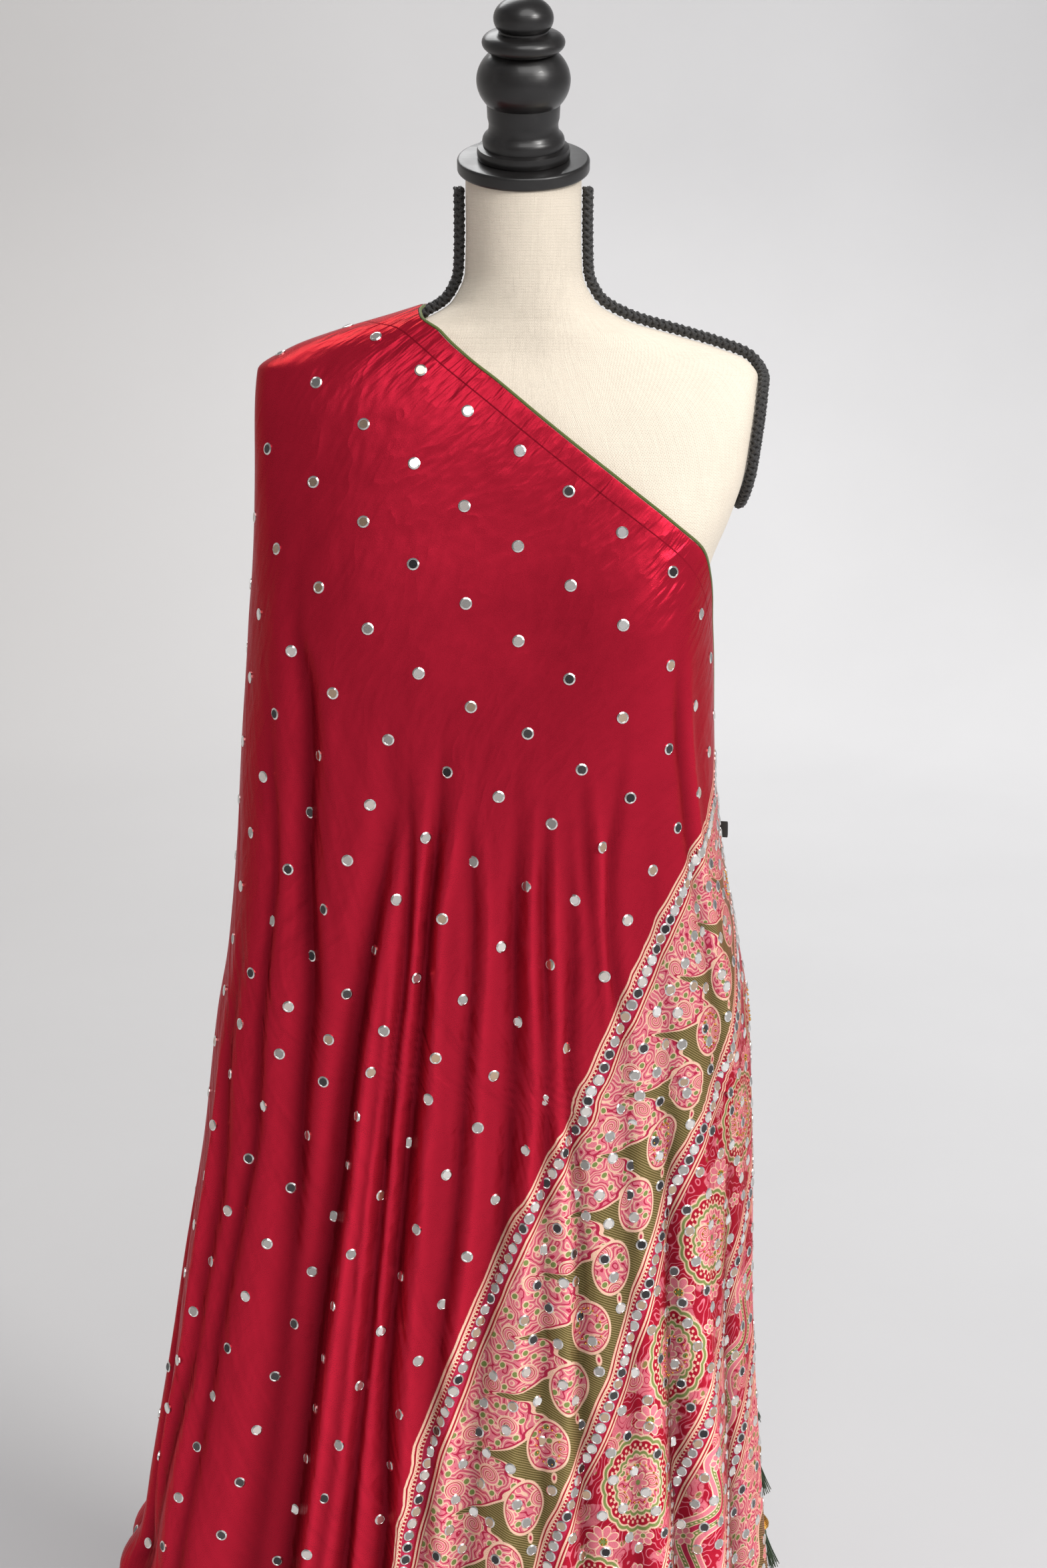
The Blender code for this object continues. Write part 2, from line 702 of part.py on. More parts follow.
def side_rope_path(side):
    """Rope route on one side: neck, shoulder ridge, then round the arm plate."""
    clear = ROPE_RADIUS + ROPE_SEAT
    path = []
    for z in ROPE_RIDGE_ROWS:
        path.append(offset_from_torso(side * 90.0, z, clear))
    for turn in range(ARM_PLATE_STEPS):
        around = math.radians((turn + 0.5) * 360.0 / ARM_PLATE_STEPS)
        z = ARM_PLATE_Z + ARM_PLATE_HALF_HEIGHT * math.cos(around)
        y = -ARM_PLATE_HALF_DEPTH * math.sin(around)
        path.append(offset_from_torso(angle_for_depth(side, y, z), z, clear))
    return path


def angle_for_depth(side, y, z):
    """The angle on one side where the form's section has this y."""
    width, front, back, _, square = (read_rows(TORSO, z, column) for column in range(1, 6))
    share = min(abs(y) / (front if y < 0 else back), 0.95)
    across = (1.0 - share ** square) ** (1.0 / square)
    turn = math.degrees(math.atan2(across, share if y < 0 else -share))
    return side * turn


def offset_from_torso(angle, z, clear):
    """A point above the form's surface along its normal."""
    here = torso_point(angle, z)
    around = torso_point(angle + 1.0, z) - torso_point(angle - 1.0, z)
    up = torso_point(angle, z + 0.0015) - torso_point(angle, z - 0.0015)
    normal = around.cross(up).normalized()
    return here + normal * clear


def ropes(look):
    """The braided rope trim on both sides of the form."""
    for name, side in (("form_rope_right", 1), ("form_rope_left", -1)):
        tube(name, side_rope_path(side), ROPE_RADIUS, look, 2)


def turned(name, profile, look, segments=22):
    """A solid turned from (radius, height) points about +Z, closed on the axis."""
    mesh = bpy.data.meshes.new(name)
    shape = bmesh.new()
    rings = []
    for radius, height in profile:
        if radius < 1e-6:
            rings.append([shape.verts.new((0, 0, height))])
            continue
        turns = (2 * math.pi * spot / segments for spot in range(segments))
        rings.append([
            shape.verts.new((radius * math.cos(turn), radius * math.sin(turn), height))
            for turn in turns
        ])
    for lower, upper in zip(rings, rings[1:]):
        for spot in range(segments):
            after = (spot + 1) % segments
            corners = [lower[spot % len(lower)], lower[after % len(lower)]]
            corners += [upper[after % len(upper)], upper[spot % len(upper)]]
            shape.faces.new(list(dict.fromkeys(corners)))
    bmesh.ops.recalc_face_normals(shape, faces=shape.faces)
    shape.to_mesh(mesh)
    shape.free()
    return finish_object(name, mesh, look, math.radians(35))


def arc(moulding, start, end, steps):
    """Profile points along an elliptic moulding, from the start angle to the end angle."""
    centre_radius, centre_height, radius, height = moulding
    points = []
    for step in range(steps + 1):
        turn = math.radians(start + (end - start) * step / steps)
        points.append((
            centre_radius + radius * math.cos(turn),
            centre_height + height * math.sin(turn),
        ))
    return points


def neck_frame(height):
    """Place on the tilted neck axis, this far above the linen."""
    foot = Vector((0.0, neck_lean(NECK_TOP_Z), NECK_TOP_Z))
    return Matrix.Translation(foot) @ Matrix.Rotation(NECK_TILT, 4, "X") @ Matrix.Translation(
        (0, 0, height)
    )


def neck_disc(look):
    """The round plate on the neck, with softened rims."""
    flat = DISC_RADIUS - DISC_RIM
    profile = [(0.0, 0.0), (flat, 0.0), (DISC_RADIUS, DISC_RIM)]
    profile += [(DISC_RADIUS, DISC_THICK - DISC_RIM), (flat, DISC_THICK), (0.0, DISC_THICK)]
    made = turned("form_neck_disc", profile, look, 32)
    made.matrix_world = neck_frame(0.0)
    return made


def finial(look):
    """The turned finial: stepped foot, ball, collar and knob."""
    profile = list(FINIAL_FOOT)
    profile += arc(FINIAL_BALL, -38, 52, 6)
    profile += arc(FINIAL_COLLAR, -80, 80, 5)
    profile.append(FINIAL_NECK)
    profile += arc(FINIAL_KNOB, -25, 90, 6)
    made = turned("form_neck_finial", profile, look)
    made.matrix_world = neck_frame(DISC_THICK + REST_GAP)
    return made


def stand(dark, steel):
    """The round base on the floor and the pole that carries the form."""
    flat = BASE_RADIUS - BASE_RIM
    shoulder = BASE_THICK - BASE_RIM
    foot = [(0.0, 0.0), (BASE_RADIUS, 0.0), (BASE_RADIUS, shoulder)]
    foot += arc((flat, shoulder, BASE_RIM, BASE_RIM), 20, 90, 3)
    foot += [(radius, BASE_THICK + rise) for radius, rise in BASE_BOSS]
    foot.append((0.0, foot[-1][1]))
    turned("stand_base", foot, dark, 32)
    low = foot[-1][1] + REST_GAP
    high = TORSO_BOTTOM_Z - REST_GAP
    pole = [(0.0, low), (POLE_RADIUS, low), (POLE_RADIUS, high), (0.0, high)]
    turned("stand_pole", pole, steel, 20)


def spot_at_height(path, z):
    """The point of a falling path at a height, or None past its ends."""
    for upper, lower in zip(path, path[1:]):
        if upper.z >= z >= lower.z:
            return upper.lerp(lower, (upper.z - z) / (upper.z - lower.z))
    return None


def room_to_edge(place, hang, path):
    """The least room between a tassel hung at this place and the end edge beside it."""
    room = []
    for radius, rise in TASSEL_SILHOUETTE:
        spot = place + hang * (BEAD_LENGTH - rise)
        edge = spot_at_height(path, spot.z)
        if edge:
            room.append((spot - edge).xy.length - radius)
    return min(room)


def room_to_skirt(place, hang):
    """The least room between a tassel and the form round the skirt's folds."""
    room = []
    for radius, rise in TASSEL_SILHOUETTE:
        spot = place + hang * (BEAD_LENGTH - rise)
        width, front, back = (read_rows(SKIRT, spot.z, column) for column in range(1, 4))
        depth = front if spot.y < 0 else back
        share = (abs(spot.x) / width) ** SKIRT_SQUARENESS + (abs(spot.y) / depth) ** SKIRT_SQUARENESS
        room.append(spot.xy.length * (1.0 - share ** (-1.0 / SKIRT_SQUARENESS)) - radius)
    return min(room)


def tassel_place(spot, away, path):
    """Hang a tassel just clear of the end edge, leaning out where the skirt is close behind."""
    outward = Vector((spot.x, spot.y, 0)).normalized()
    place = spot.copy()
    hang = Vector((0, 0, -1))
    lean = 0.0
    while room_to_edge(place, hang, path) < TASSEL_CLEAR:
        place += away * TASSEL_STEP
    while room_to_skirt(place, hang) < TASSEL_CLEAR:
        lean += TASSEL_LEAN_STEP
        hang = outward * math.sin(lean) - Vector((0, 0, math.cos(lean)))
    axis = Vector((0, 0, -1)).cross(outward)
    return Matrix.Translation(place) @ Matrix.Rotation(lean, 4, axis)


def tassel_places(printed):
    """Where the tassels hang beside the pallu's end edge, as matrices."""
    rows = [row for row in printed if row[-1].z < CORNER_Z + CORNER_REACH]
    path = edge_path([(row[-1], row[-2]) for row in rows], 0.0)
    inner = [row[-2] for row in rows]
    places = []
    for number in range(TASSEL_COUNT):
        z = TASSEL_FIRST_Z + (TASSEL_LAST_Z - TASSEL_FIRST_Z) * number / (TASSEL_COUNT - 1)
        spot = spot_at_height(path, z)
        away = spot - (spot_at_height(inner, z) or inner[-1])
        away = Vector((away.x, away.y, 0)).normalized()
        places.append(tassel_place(spot, away, path))
    return places


def tassels(printed, gold, thread):
    """A wire-wrapped drop bead and a thread tassel at each place."""
    for number, place in enumerate(tassel_places(printed)):
        made = turned("tassel_bead_%02d" % (number + 1), BEAD_PROFILE, gold, BEAD_SIDES)
        made.matrix_world = place @ Matrix.Translation((0, 0, -BEAD_LENGTH))
        made = thread_tassel(number, thread)
        made.matrix_world = place @ Matrix.Translation((0, 0, -BEAD_LENGTH - REST_GAP))


def thread_tassel(number, look):
    """Three-sided threads that fan out from one head."""
    name = "tassel_thread_%02d" % (number + 1)
    mesh = bpy.data.meshes.new(name)
    shape = bmesh.new()
    count = THREADS_PER_TASSEL
    crown = []
    head = []
    for spot in range(count):
        crown.append(shape.verts.new(polar(THREAD_CROWN_RADIUS, 0.0, spot)))
        head.append(shape.verts.new(polar(THREAD_HEAD_RADIUS, -THREAD_HEAD_DROP, spot)))
    shape.faces.new(crown)
    middle = shape.verts.new((0, 0, -THREAD_HEAD_DROP))
    for spot in range(count):
        after = (spot + 1) % count
        shape.faces.new((crown[spot], head[spot], head[after], crown[after]))
        reach = THREAD_FAN_RADIUS + THREAD_FAN_SPREAD * math.sin(spot * 2.4 + number)
        length = THREAD_LENGTH * (0.90 + 0.10 * math.cos(spot * 1.9 + number * 0.7))
        tip = shape.verts.new(polar(reach, -length, spot + 0.5))
        shape.faces.new((head[spot], middle, tip))
        shape.faces.new((middle, head[after], tip))
        shape.faces.new((head[after], head[spot], tip))
    bmesh.ops.recalc_face_normals(shape, faces=shape.faces)
    shape.to_mesh(mesh)
    shape.free()
    return finish_object(name, mesh, look)


def polar(radius, height, spot):
    """A point on a small ring about the tassel's axis."""
    turn = 2 * math.pi * spot / THREADS_PER_TASSEL
    return radius * math.cos(turn), radius * math.sin(turn), height


def build():
    """Make every piece of the object."""
    clear_scene()
    crimson = material("Crimson satin", "crimson", 0.38)
    printed = material("Printed satin", "print", 0.42)
    moss = material("Moss piping", "moss", 0.6)
    linen = material("Cream linen", "linen", 0.9)
    black = material("Black braid", "black", 0.85)
    wood = material("Black turned wood", "dark wood", 0.35)
    thread = material("Green thread", "leaf thread", 0.7)
    gold = material("Gold wire", "gold", 0.35, 1.0)
    steel = material("Brushed steel", "steel", 0.4, 1.0)
    torso(linen)
    ropes(black)
    neck_disc(wood)
    finial(wood)
    stand(wood, steel)
    front, printed_end = front_grids()
    back = back_grid()
    sheet_object("saree_front_stretch", front, crimson)
    sheet_object("saree_pallu", printed_end, printed)
    sheet_object("saree_back_stretch", back, crimson)
    skirt(crimson)
    edge_pipings(front, printed_end, back, moss)
    blank_tab(front, printed_end, black)
    tassels(printed_end, gold, thread)


build()
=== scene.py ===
# Draped ajrakh saree on a limbless dress form with a turned neck finial, a pole and a round base.
# Lengths are metres, +Z is up, the front faces -Y and the floor is at 0.
# Angles go round the body in degrees: 0 is the front, +90 the viewer's right, -90 the viewer's left.

import math

import bpy
import numpy as np
from mathutils import Matrix, Vector


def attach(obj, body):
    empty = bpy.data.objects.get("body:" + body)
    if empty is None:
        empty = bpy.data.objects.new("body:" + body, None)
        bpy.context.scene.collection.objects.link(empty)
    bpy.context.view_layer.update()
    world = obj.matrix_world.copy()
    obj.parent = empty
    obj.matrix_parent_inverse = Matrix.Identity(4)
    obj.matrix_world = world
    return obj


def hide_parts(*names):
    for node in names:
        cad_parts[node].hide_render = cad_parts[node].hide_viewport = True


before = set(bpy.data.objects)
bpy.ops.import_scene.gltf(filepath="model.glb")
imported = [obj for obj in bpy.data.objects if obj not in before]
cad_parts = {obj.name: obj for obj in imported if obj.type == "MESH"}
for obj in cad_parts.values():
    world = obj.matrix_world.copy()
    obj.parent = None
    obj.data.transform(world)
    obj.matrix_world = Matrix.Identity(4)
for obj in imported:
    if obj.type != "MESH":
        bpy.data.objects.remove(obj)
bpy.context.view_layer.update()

bl_info = {
    "name": "Draped Ajrakh Saree",
    "version": (1, 0, 0),
    "blender": (4, 5, 0),
    "location": "3D View > Sidebar > Saree",
    "description": "A crimson satin saree with an ajrakh-printed end, draped on a limbless dress form",
    "category": "Object",
}

# Height, half-width, front, back, bust swell and squareness of the form's sections
TORSO = (
    (0.760, 0.146, 0.102, 0.108, 0.000, 2.2),
    (0.800, 0.157, 0.108, 0.118, 0.000, 2.2),
    (0.860, 0.158, 0.108, 0.116, 0.000, 2.2),
    (0.940, 0.138, 0.098, 0.098, 0.000, 2.2),
    (1.020, 0.120, 0.090, 0.084, 0.000, 2.2),
    (1.060, 0.119, 0.092, 0.083, 0.000, 2.2),
    (1.110, 0.125, 0.098, 0.090, 0.006, 2.3),
    (1.150, 0.131, 0.103, 0.098, 0.014, 2.3),
    (1.180, 0.135, 0.104, 0.102, 0.017, 2.4),
    (1.220, 0.142, 0.101, 0.105, 0.011, 2.6),
    (1.260, 0.157, 0.094, 0.105, 0.004, 3.0),
    (1.300, 0.169, 0.084, 0.100, 0.000, 3.5),
    (1.340, 0.175, 0.070, 0.086, 0.000, 3.8),
    (1.362, 0.176, 0.057, 0.068, 0.000, 3.4),
    (1.374, 0.168, 0.050, 0.057, 0.000, 3.0),
    (1.383, 0.146, 0.047, 0.052, 0.000, 2.5),
    (1.393, 0.112, 0.046, 0.050, 0.000, 2.2),
    (1.403, 0.078, 0.046, 0.049, 0.000, 2.0),
    (1.418, 0.053, 0.046, 0.048, 0.000, 2.0),
    (1.440, 0.0435, 0.046, 0.047, 0.000, 2.0),
    (1.475, 0.0425, 0.045, 0.046, 0.000, 2.0),
    (1.511, 0.0425, 0.044, 0.045, 0.000, 2.0),
)
BUST_ANGLE = 34.0
BUST_SPREAD = 19.0
NECK_TOP_Z = 1.511
NECK_TILT = math.radians(20.0)
NECK_LEAN = -0.016
LEAN_START_Z = 1.405
TILT_START_Z = 1.440

# Height, left, right, front, back, bust swell and squareness of the outer drape's sections
DRAPE = (
    (0.030, 0.350, 0.226, 0.208, 0.215, 0.000, 2.0),
    (0.200, 0.352, 0.216, 0.198, 0.205, 0.000, 2.0),
    (0.356, 0.348, 0.207, 0.186, 0.195, 0.000, 2.0),
    (0.390, 0.329, 0.204, 0.182, 0.192, 0.000, 2.0),
    (0.456, 0.316, 0.199, 0.176, 0.187, 0.000, 2.0),
    (0.552, 0.298, 0.193, 0.168, 0.180, 0.000, 2.0),
    (0.640, 0.283, 0.189, 0.161, 0.173, 0.000, 2.0),
    (0.753, 0.261, 0.187, 0.153, 0.165, 0.000, 2.0),
    (0.862, 0.246, 0.182, 0.146, 0.153, 0.000, 2.1),
    (0.915, 0.236, 0.173, 0.142, 0.145, 0.000, 2.2),
    (1.006, 0.226, 0.156, 0.136, 0.130, 0.000, 2.3),
    (1.085, 0.220, 0.149, 0.131, 0.122, 0.004, 2.4),
    (1.150, 0.214, 0.147, 0.124, 0.118, 0.010, 2.5),
    (1.185, 0.211, 0.146, 0.117, 0.117, 0.014, 2.6),
    (1.221, 0.207, 0.149, 0.112, 0.116, 0.010, 2.8),
    (1.260, 0.204, 0.164, 0.103, 0.115, 0.005, 3.1),
    (1.300, 0.202, 0.177, 0.093, 0.110, 0.001, 3.5),
    (1.340, 0.201, 0.183, 0.080, 0.097, 0.000, 3.7),
    (1.368, 0.199, 0.184, 0.068, 0.080, 0.000, 3.3),
    (1.384, 0.1745, 0.160, 0.061, 0.068, 0.000, 2.8),
    (1.397, 0.1385, 0.130, 0.058, 0.063, 0.000, 2.4),
    (1.409, 0.0970, 0.095, 0.057, 0.061, 0.000, 2.2),
    (1.419, 0.0650, 0.065, 0.057, 0.060, 0.000, 2.0),
)

# Height, half-width, front, back and fold depth of the wrapped skirt's sections
SKIRT = (
    (0.022, 0.212, 0.188, 0.190, 0.013),
    (0.200, 0.200, 0.168, 0.178, 0.011),
    (0.400, 0.185, 0.150, 0.162, 0.008),
    (0.600, 0.174, 0.134, 0.148, 0.005),
    (0.750, 0.168, 0.124, 0.136, 0.003),
    (0.860, 0.1645, 0.117, 0.124, 0.001),
    (0.940, 0.1450, 0.1060, 0.1060, 0.000),
    (1.010, 0.1262, 0.0963, 0.0908, 0.000),
    (1.045, 0.1240, 0.0960, 0.0890, 0.000),
)
SKIRT_SQUARENESS = 2.2
SKIRT_WAVES = 13
WAVE_DRIFT = 0.6
FRONT_PLEATS = 36
PLEAT_SPREAD = 32.0
FINE_SHARE = 0.07

# Height and angle of the upper selvedge, then of the printed end's edge with the tassels
FRONT_SELVEDGE = (
    (1.415, -74.0), (1.409, -50.0), (1.397, -25.3), (1.377, -11.8), (1.341, 2.2), (1.299, 19.1),
    (1.270, 31.0), (1.256, 37.4), (1.242, 45.5), (1.228, 52.6), (1.214, 59.2), (1.190, 70.0),
    (1.150, 81.0), (1.070, 88.0), (0.930, 90.5), (0.880, 96.0), (0.840, 108.0), (0.800, 128.0),
    (0.615, 111.0), (0.430, 93.0), (0.250, 70.0), (0.090, 46.0),
)
CORNER_Z = 0.800
CORNER_ANGLE = 128.0
CORNER_SPREAD = 17.0
CORNER_SPREAD_Z = 0.045

# Where the back stretch is drawn in to the wrapped skirt behind the hip
HUG_ANGLE = -226.0
HUG_SPREAD = 26.0
HUG_TOP_Z = 0.960
HUG_FADE_Z = 0.110
CLOTH_CLEAR = 0.0023

# Height and angle of the line where the print begins
PRINT_START = (
    (1.064, 88.0), (1.048, 72.0), (1.023, 58.0), (1.003, 46.5), (0.948, 29.5), (0.873, 18.0),
    (0.831, 10.0), (0.744, -2.0), (0.663, -10.0), (0.567, -16.5), (0.454, -19.4), (0.330, -22.0),
    (0.200, -24.5),
)
# Height and angle of the print's other rows of mirrors
SECOND_ROW = (
    (0.874, 63.0), (0.829, 52.0), (0.796, 42.0), (0.747, 34.0), (0.651, 24.0), (0.571, 15.5),
    (0.521, 8.5), (0.466, 1.5),
)
THIRD_ROW = ((0.619, 61.5), (0.601, 50.0), (0.549, 45.0), (0.522, 36.5))
FOURTH_ROW = ((0.487, 71.6), (0.482, 62.0), (0.471, 53.7), (0.418, 49.5))

# Height, angle, step along the cloth and step across it of mirrors sewn on the crimson
MIRROR_PINS = (
    (1.135, -21.2, -2, -1), (1.078, -24.0, -2, 0), (1.035, -27.0, -2, 1), (1.125, -10.2, -1, -1),
    (1.080, -14.5, -1, 0), (1.025, -18.0, -1, 1), (0.978, -23.0, -1, 2), (0.933, -27.8, -1, 3),
    (1.163, 7.5, 0, -2), (1.118, -0.8, 0, -1), (1.068, -5.2, 0, 0), (1.018, -8.8, 0, 1),
    (0.975, -14.5, 0, 2), (0.923, -19.0, 0, 3), (1.128, 25.5, 1, -2), (1.095, 16.0, 1, -1),
    (1.048, 9.5, 1, 0), (1.003, 2.0, 1, 1), (0.948, -3.0, 1, 2), (1.100, 41.2, 2, -2),
    (1.063, 27.0, 2, -1), (1.030, 20.0, 2, 0), (0.988, 13.5, 2, 1), (0.948, 7.5, 2, 2),
    (1.073, 59.2, 3, -2), (1.025, 39.5, 3, 0), (0.993, 32.0, 3, 1), (0.953, 25.5, 3, 2),
    (0.920, 19.0, 3, 3),
)
PIN_PITCH = 0.0475
PIN_START = (0.7645, 0.2146)

# Angle and height of the lower selvedge
HEM = (
    (-225.0, 0.035), (-180.0, 0.150), (-130.0, 0.270), (-90.0, 0.356), (-60.0, 0.300),
    (-30.0, 0.215), (0.0, 0.150), (30.0, 0.105), (46.0, 0.090), (130.0, 0.085),
)

# Height and angle of the back stretch's upper edge, down to where it leaves the skirt wrap
BACK_EDGE = (
    (1.415, -118.0), (1.409, -133.0), (1.397, -146.0), (1.368, -160.0), (1.320, -172.0),
    (1.250, -184.0), (1.180, -195.0), (1.110, -206.0), (1.050, -216.0), (1.000, -223.0),
    (0.940, -226.0), (0.030, -226.0),
)
BACK_PIPING_END_Z = 0.985

# Broad folds: upper angle and height, angle low down, its height, depth out and width in degrees
FOLDS = (
    (-88.0, 0.80, -78.0, 0.45, -0.012, 3.5),
    (-70.0, 1.10, -62.0, 0.45, 0.010, 9.0),
    (26.0, 1.05, 32.0, 0.45, 0.007, 4.2),
    (36.0, 1.10, 41.0, 0.45, -0.014, 3.6),
    (46.0, 1.00, 50.0, 0.45, 0.008, 4.2),
    (60.0, 0.95, 63.0, 0.45, -0.010, 5.0),
    (78.0, 0.95, 79.0, 0.45, 0.005, 5.0),
    (-112.0, 1.15, -108.0, 0.45, 0.012, 6.0),
    (-128.0, 1.20, -124.0, 0.45, -0.016, 6.0),
    (-143.0, 1.10, -141.0, 0.45, 0.012, 6.0),
    (-158.0, 1.18, -157.0, 0.45, -0.014, 5.5),
    (-171.0, 1.05, -172.0, 0.45, 0.010, 5.5),
    (-184.0, 1.10, -187.0, 0.45, -0.013, 5.5),
    (-197.0, 1.00, -201.0, 0.45, 0.008, 5.5),
)
FOLD_LOW_SHARE = 1.3
FOLD_START_WIDTH = 0.45
FOLD_RISE = 0.85

# Creases: depth out at the top and low down, width in degrees at the top and low down, the height
# over which the crease grows from nothing, then height and angle of its line
CREASES = (
    (-0.010, -0.020, 3.6, 5.0, 0.16, ((1.274, -42.0), (1.160, -41.6), (1.004, -45.0), (0.902, -43.0),
        (0.788, -44.2), (0.620, -43.2), (0.440, -44.6), (0.050, -48.0))),
    (0.004, 0.001, 3.0, 3.0, 0.10, ((1.200, -34.5), (1.061, -36.2), (0.956, -38.0), (0.860, -37.6))),
    (-0.009, -0.030, 3.2, 4.6, 0.14, ((1.150, -24.6), (1.064, -24.4), (1.013, -27.0), (0.908, -30.6),
        (0.803, -33.4), (0.692, -35.6), (0.614, -36.4), (0.440, -38.0), (0.050, -42.0))),
    (0.010, 0.016, 2.4, 3.0, 0.16, ((1.060, -23.0), (0.911, -26.8), (0.806, -28.8), (0.701, -29.9),
        (0.590, -31.0), (0.479, -32.0), (0.050, -37.0))),
    (-0.0026, -0.0030, 0.9, 1.0, 0.10, ((0.960, -24.8), (0.860, -25.8), (0.755, -27.8),
        (0.647, -28.6), (0.536, -29.8), (0.430, -31.0), (0.050, -35.5))),
    (0.0050, 0.0060, 1.2, 1.5, 0.10, ((0.980, -23.2), (0.860, -24.6), (0.752, -26.4),
        (0.644, -27.0), (0.533, -27.6), (0.430, -29.0), (0.050, -33.0))),
    (-0.0075, -0.0100, 1.5, 1.8, 0.14, ((1.120, -21.4), (0.962, -21.6), (0.860, -23.2),
        (0.752, -24.6), (0.641, -25.2), (0.530, -26.0), (0.400, -26.8), (0.050, -30.0))),
    (0.0040, 0.0050, 1.2, 1.2, 0.10, ((1.060, -18.4), (0.962, -20.2), (0.860, -21.8),
        (0.752, -23.2), (0.641, -23.8), (0.530, -24.6), (0.400, -25.2), (0.050, -28.0))),
    (-0.0085, -0.0130, 1.6, 2.0, 0.14, ((1.140, -14.6), (1.064, -15.8), (0.965, -17.8),
        (0.860, -19.0), (0.752, -20.8), (0.590, -21.8), (0.485, -20.8), (0.400, -21.4),
        (0.050, -25.5))),
    (0.0050, 0.0060, 1.8, 2.0, 0.12, ((1.120, -10.0), (1.016, -13.4), (0.965, -15.4),
        (0.860, -15.6), (0.758, -16.8), (0.650, -17.6), (0.500, -18.0), (0.050, -22.0))),
    (-0.0045, -0.0060, 1.4, 1.6, 0.12, ((1.090, -11.0), (0.965, -9.4), (0.863, -10.2),
        (0.758, -11.4), (0.647, -13.2), (0.450, -15.0), (0.050, -18.5))),
    (0.0036, 0.0050, 1.5, 1.7, 0.12, ((1.080, -8.4), (0.965, -6.4), (0.863, -7.6), (0.758, -8.4),
        (0.647, -10.4), (0.450, -12.0), (0.050, -15.0))),
    (-0.0070, -0.0090, 1.8, 2.2, 0.16, ((1.110, -1.0), (0.965, -1.6), (0.863, -2.0),
        (0.760, -3.2), (0.650, -6.0), (0.450, -8.2), (0.050, -11.0))),
    (0.0040, 0.0060, 1.8, 2.2, 0.12, ((1.090, 4.2), (0.965, 1.8), (0.863, 2.4), (0.760, 1.0),
        (0.600, -1.0), (0.050, -5.0))),
    (-0.0030, -0.0050, 1.3, 2.0, 0.10, ((1.080, 6.4), (0.965, 5.4), (0.863, 5.6), (0.700, 5.0),
        (0.050, 3.0))),
    (0.0030, 0.0050, 1.6, 2.4, 0.10, ((1.080, 9.0), (0.965, 8.4), (0.863, 8.4), (0.700, 10.0),
        (0.050, 9.0))),
    (-0.0046, -0.0080, 1.6, 2.8, 0.14, ((1.080, 11.6), (0.965, 13.0), (0.863, 11.0), (0.700, 14.0),
        (0.050, 15.0))),
    (-0.0036, -0.0040, 1.7, 2.6, 0.12, ((1.120, 15.0), (1.013, 17.6), (0.940, 18.4),
        (0.860, 20.0), (0.050, 24.0))),
    (0.0036, 0.0060, 1.8, 3.0, 0.12, ((1.110, 19.0), (1.013, 20.8), (0.900, 19.6), (0.700, 21.0),
        (0.050, 24.0))),
    (-0.0038, -0.0030, 1.8, 2.4, 0.12, ((1.140, 28.0), (1.064, 26.4), (1.013, 24.0),
        (0.962, 22.6), (0.880, 25.0), (0.050, 30.0))),
    (-0.0040, -0.0020, 2.2, 2.4, 0.10, ((1.200, 41.0), (1.160, 42.6), (1.109, 45.4),
        (1.055, 49.4), (0.960, 53.0), (0.860, 55.0))),
    (0.0030, 0.0020, 2.2, 2.4, 0.10, ((1.190, 46.0), (1.109, 50.0), (1.055, 54.0), (0.960, 58.0),
        (0.860, 60.0))),
    (-0.0050, -0.0070, 2.2, 2.6, 0.16, ((1.150, -53.6), (1.000, -54.0), (0.893, -56.0),
        (0.785, -55.6), (0.728, -57.0), (0.050, -62.0))),
    (-0.0050, -0.0070, 2.6, 3.0, 0.16, ((0.980, -65.0), (0.830, -67.6), (0.720, -64.6),
        (0.600, -64.4), (0.545, -66.6), (0.476, -70.0), (0.050, -78.0))),
    (0.0040, 0.0060, 2.4, 3.0, 0.16, ((0.900, -73.0), (0.713, -70.0), (0.602, -68.6),
        (0.536, -71.2), (0.050, -82.0))),
    (-0.0040, -0.0060, 2.0, 2.6, 0.16, ((1.180, -98.0), (0.900, -97.0), (0.050, -96.0))),
    (-0.0050, -0.0060, 2.2, 3.0, 0.18, ((1.160, -119.0), (0.900, -117.0), (0.050, -114.0))),
    (0.0040, 0.0060, 2.0, 2.6, 0.18, ((1.120, -135.0), (0.900, -134.0), (0.050, -131.0))),
    (-0.0044, -0.0060, 1.8, 2.4, 0.18, ((1.140, -150.0), (0.900, -149.6), (0.050, -147.0))),
    (-0.0040, -0.0060, 1.8, 2.6, 0.18, ((1.100, -165.0), (0.900, -164.0), (0.050, -164.0))),
    (0.0040, 0.0050, 1.8, 2.4, 0.18, ((1.100, -178.0), (0.900, -179.0), (0.050, -180.0))),
    (-0.0040, -0.0050, 1.8, 2.4, 0.18, ((1.080, -192.0), (0.900, -194.0), (0.050, -196.0))),
    (-0.0036, -0.0050, 1.8, 2.4, 0.18, ((1.020, -208.0), (0.900, -209.0), (0.050, -211.0))),
)
BROAD_CREASE = 2.0
# A crease that ends above this height fades over this length, and how steep the sides of creases are
CREASE_FADE_Z = 0.1
CREASE_FADE = 0.12
CREASE_POWER = 1.7

# Wrinkles: their number, height, and the radius and top height that they are measured from
WRINKLES = 9
WRINKLE_HEIGHT = 0.00042
WRINKLE_RADIUS = 0.18
WRINKLE_TOP_Z = 1.40
GOLDEN_TURN = 2.399963

SHOULDER_ROWS = (
    1.415, 1.409, 1.402, 1.394, 1.385, 1.375, 1.364, 1.348,
    1.325, 1.295, 1.265, 1.235, 1.205, 1.165, 1.120, 1.070,
)
UNDERARM_Z = 1.070

# The angle where the front of the drape meets the stretch up the back
SIDE_ANGLE = -90.0
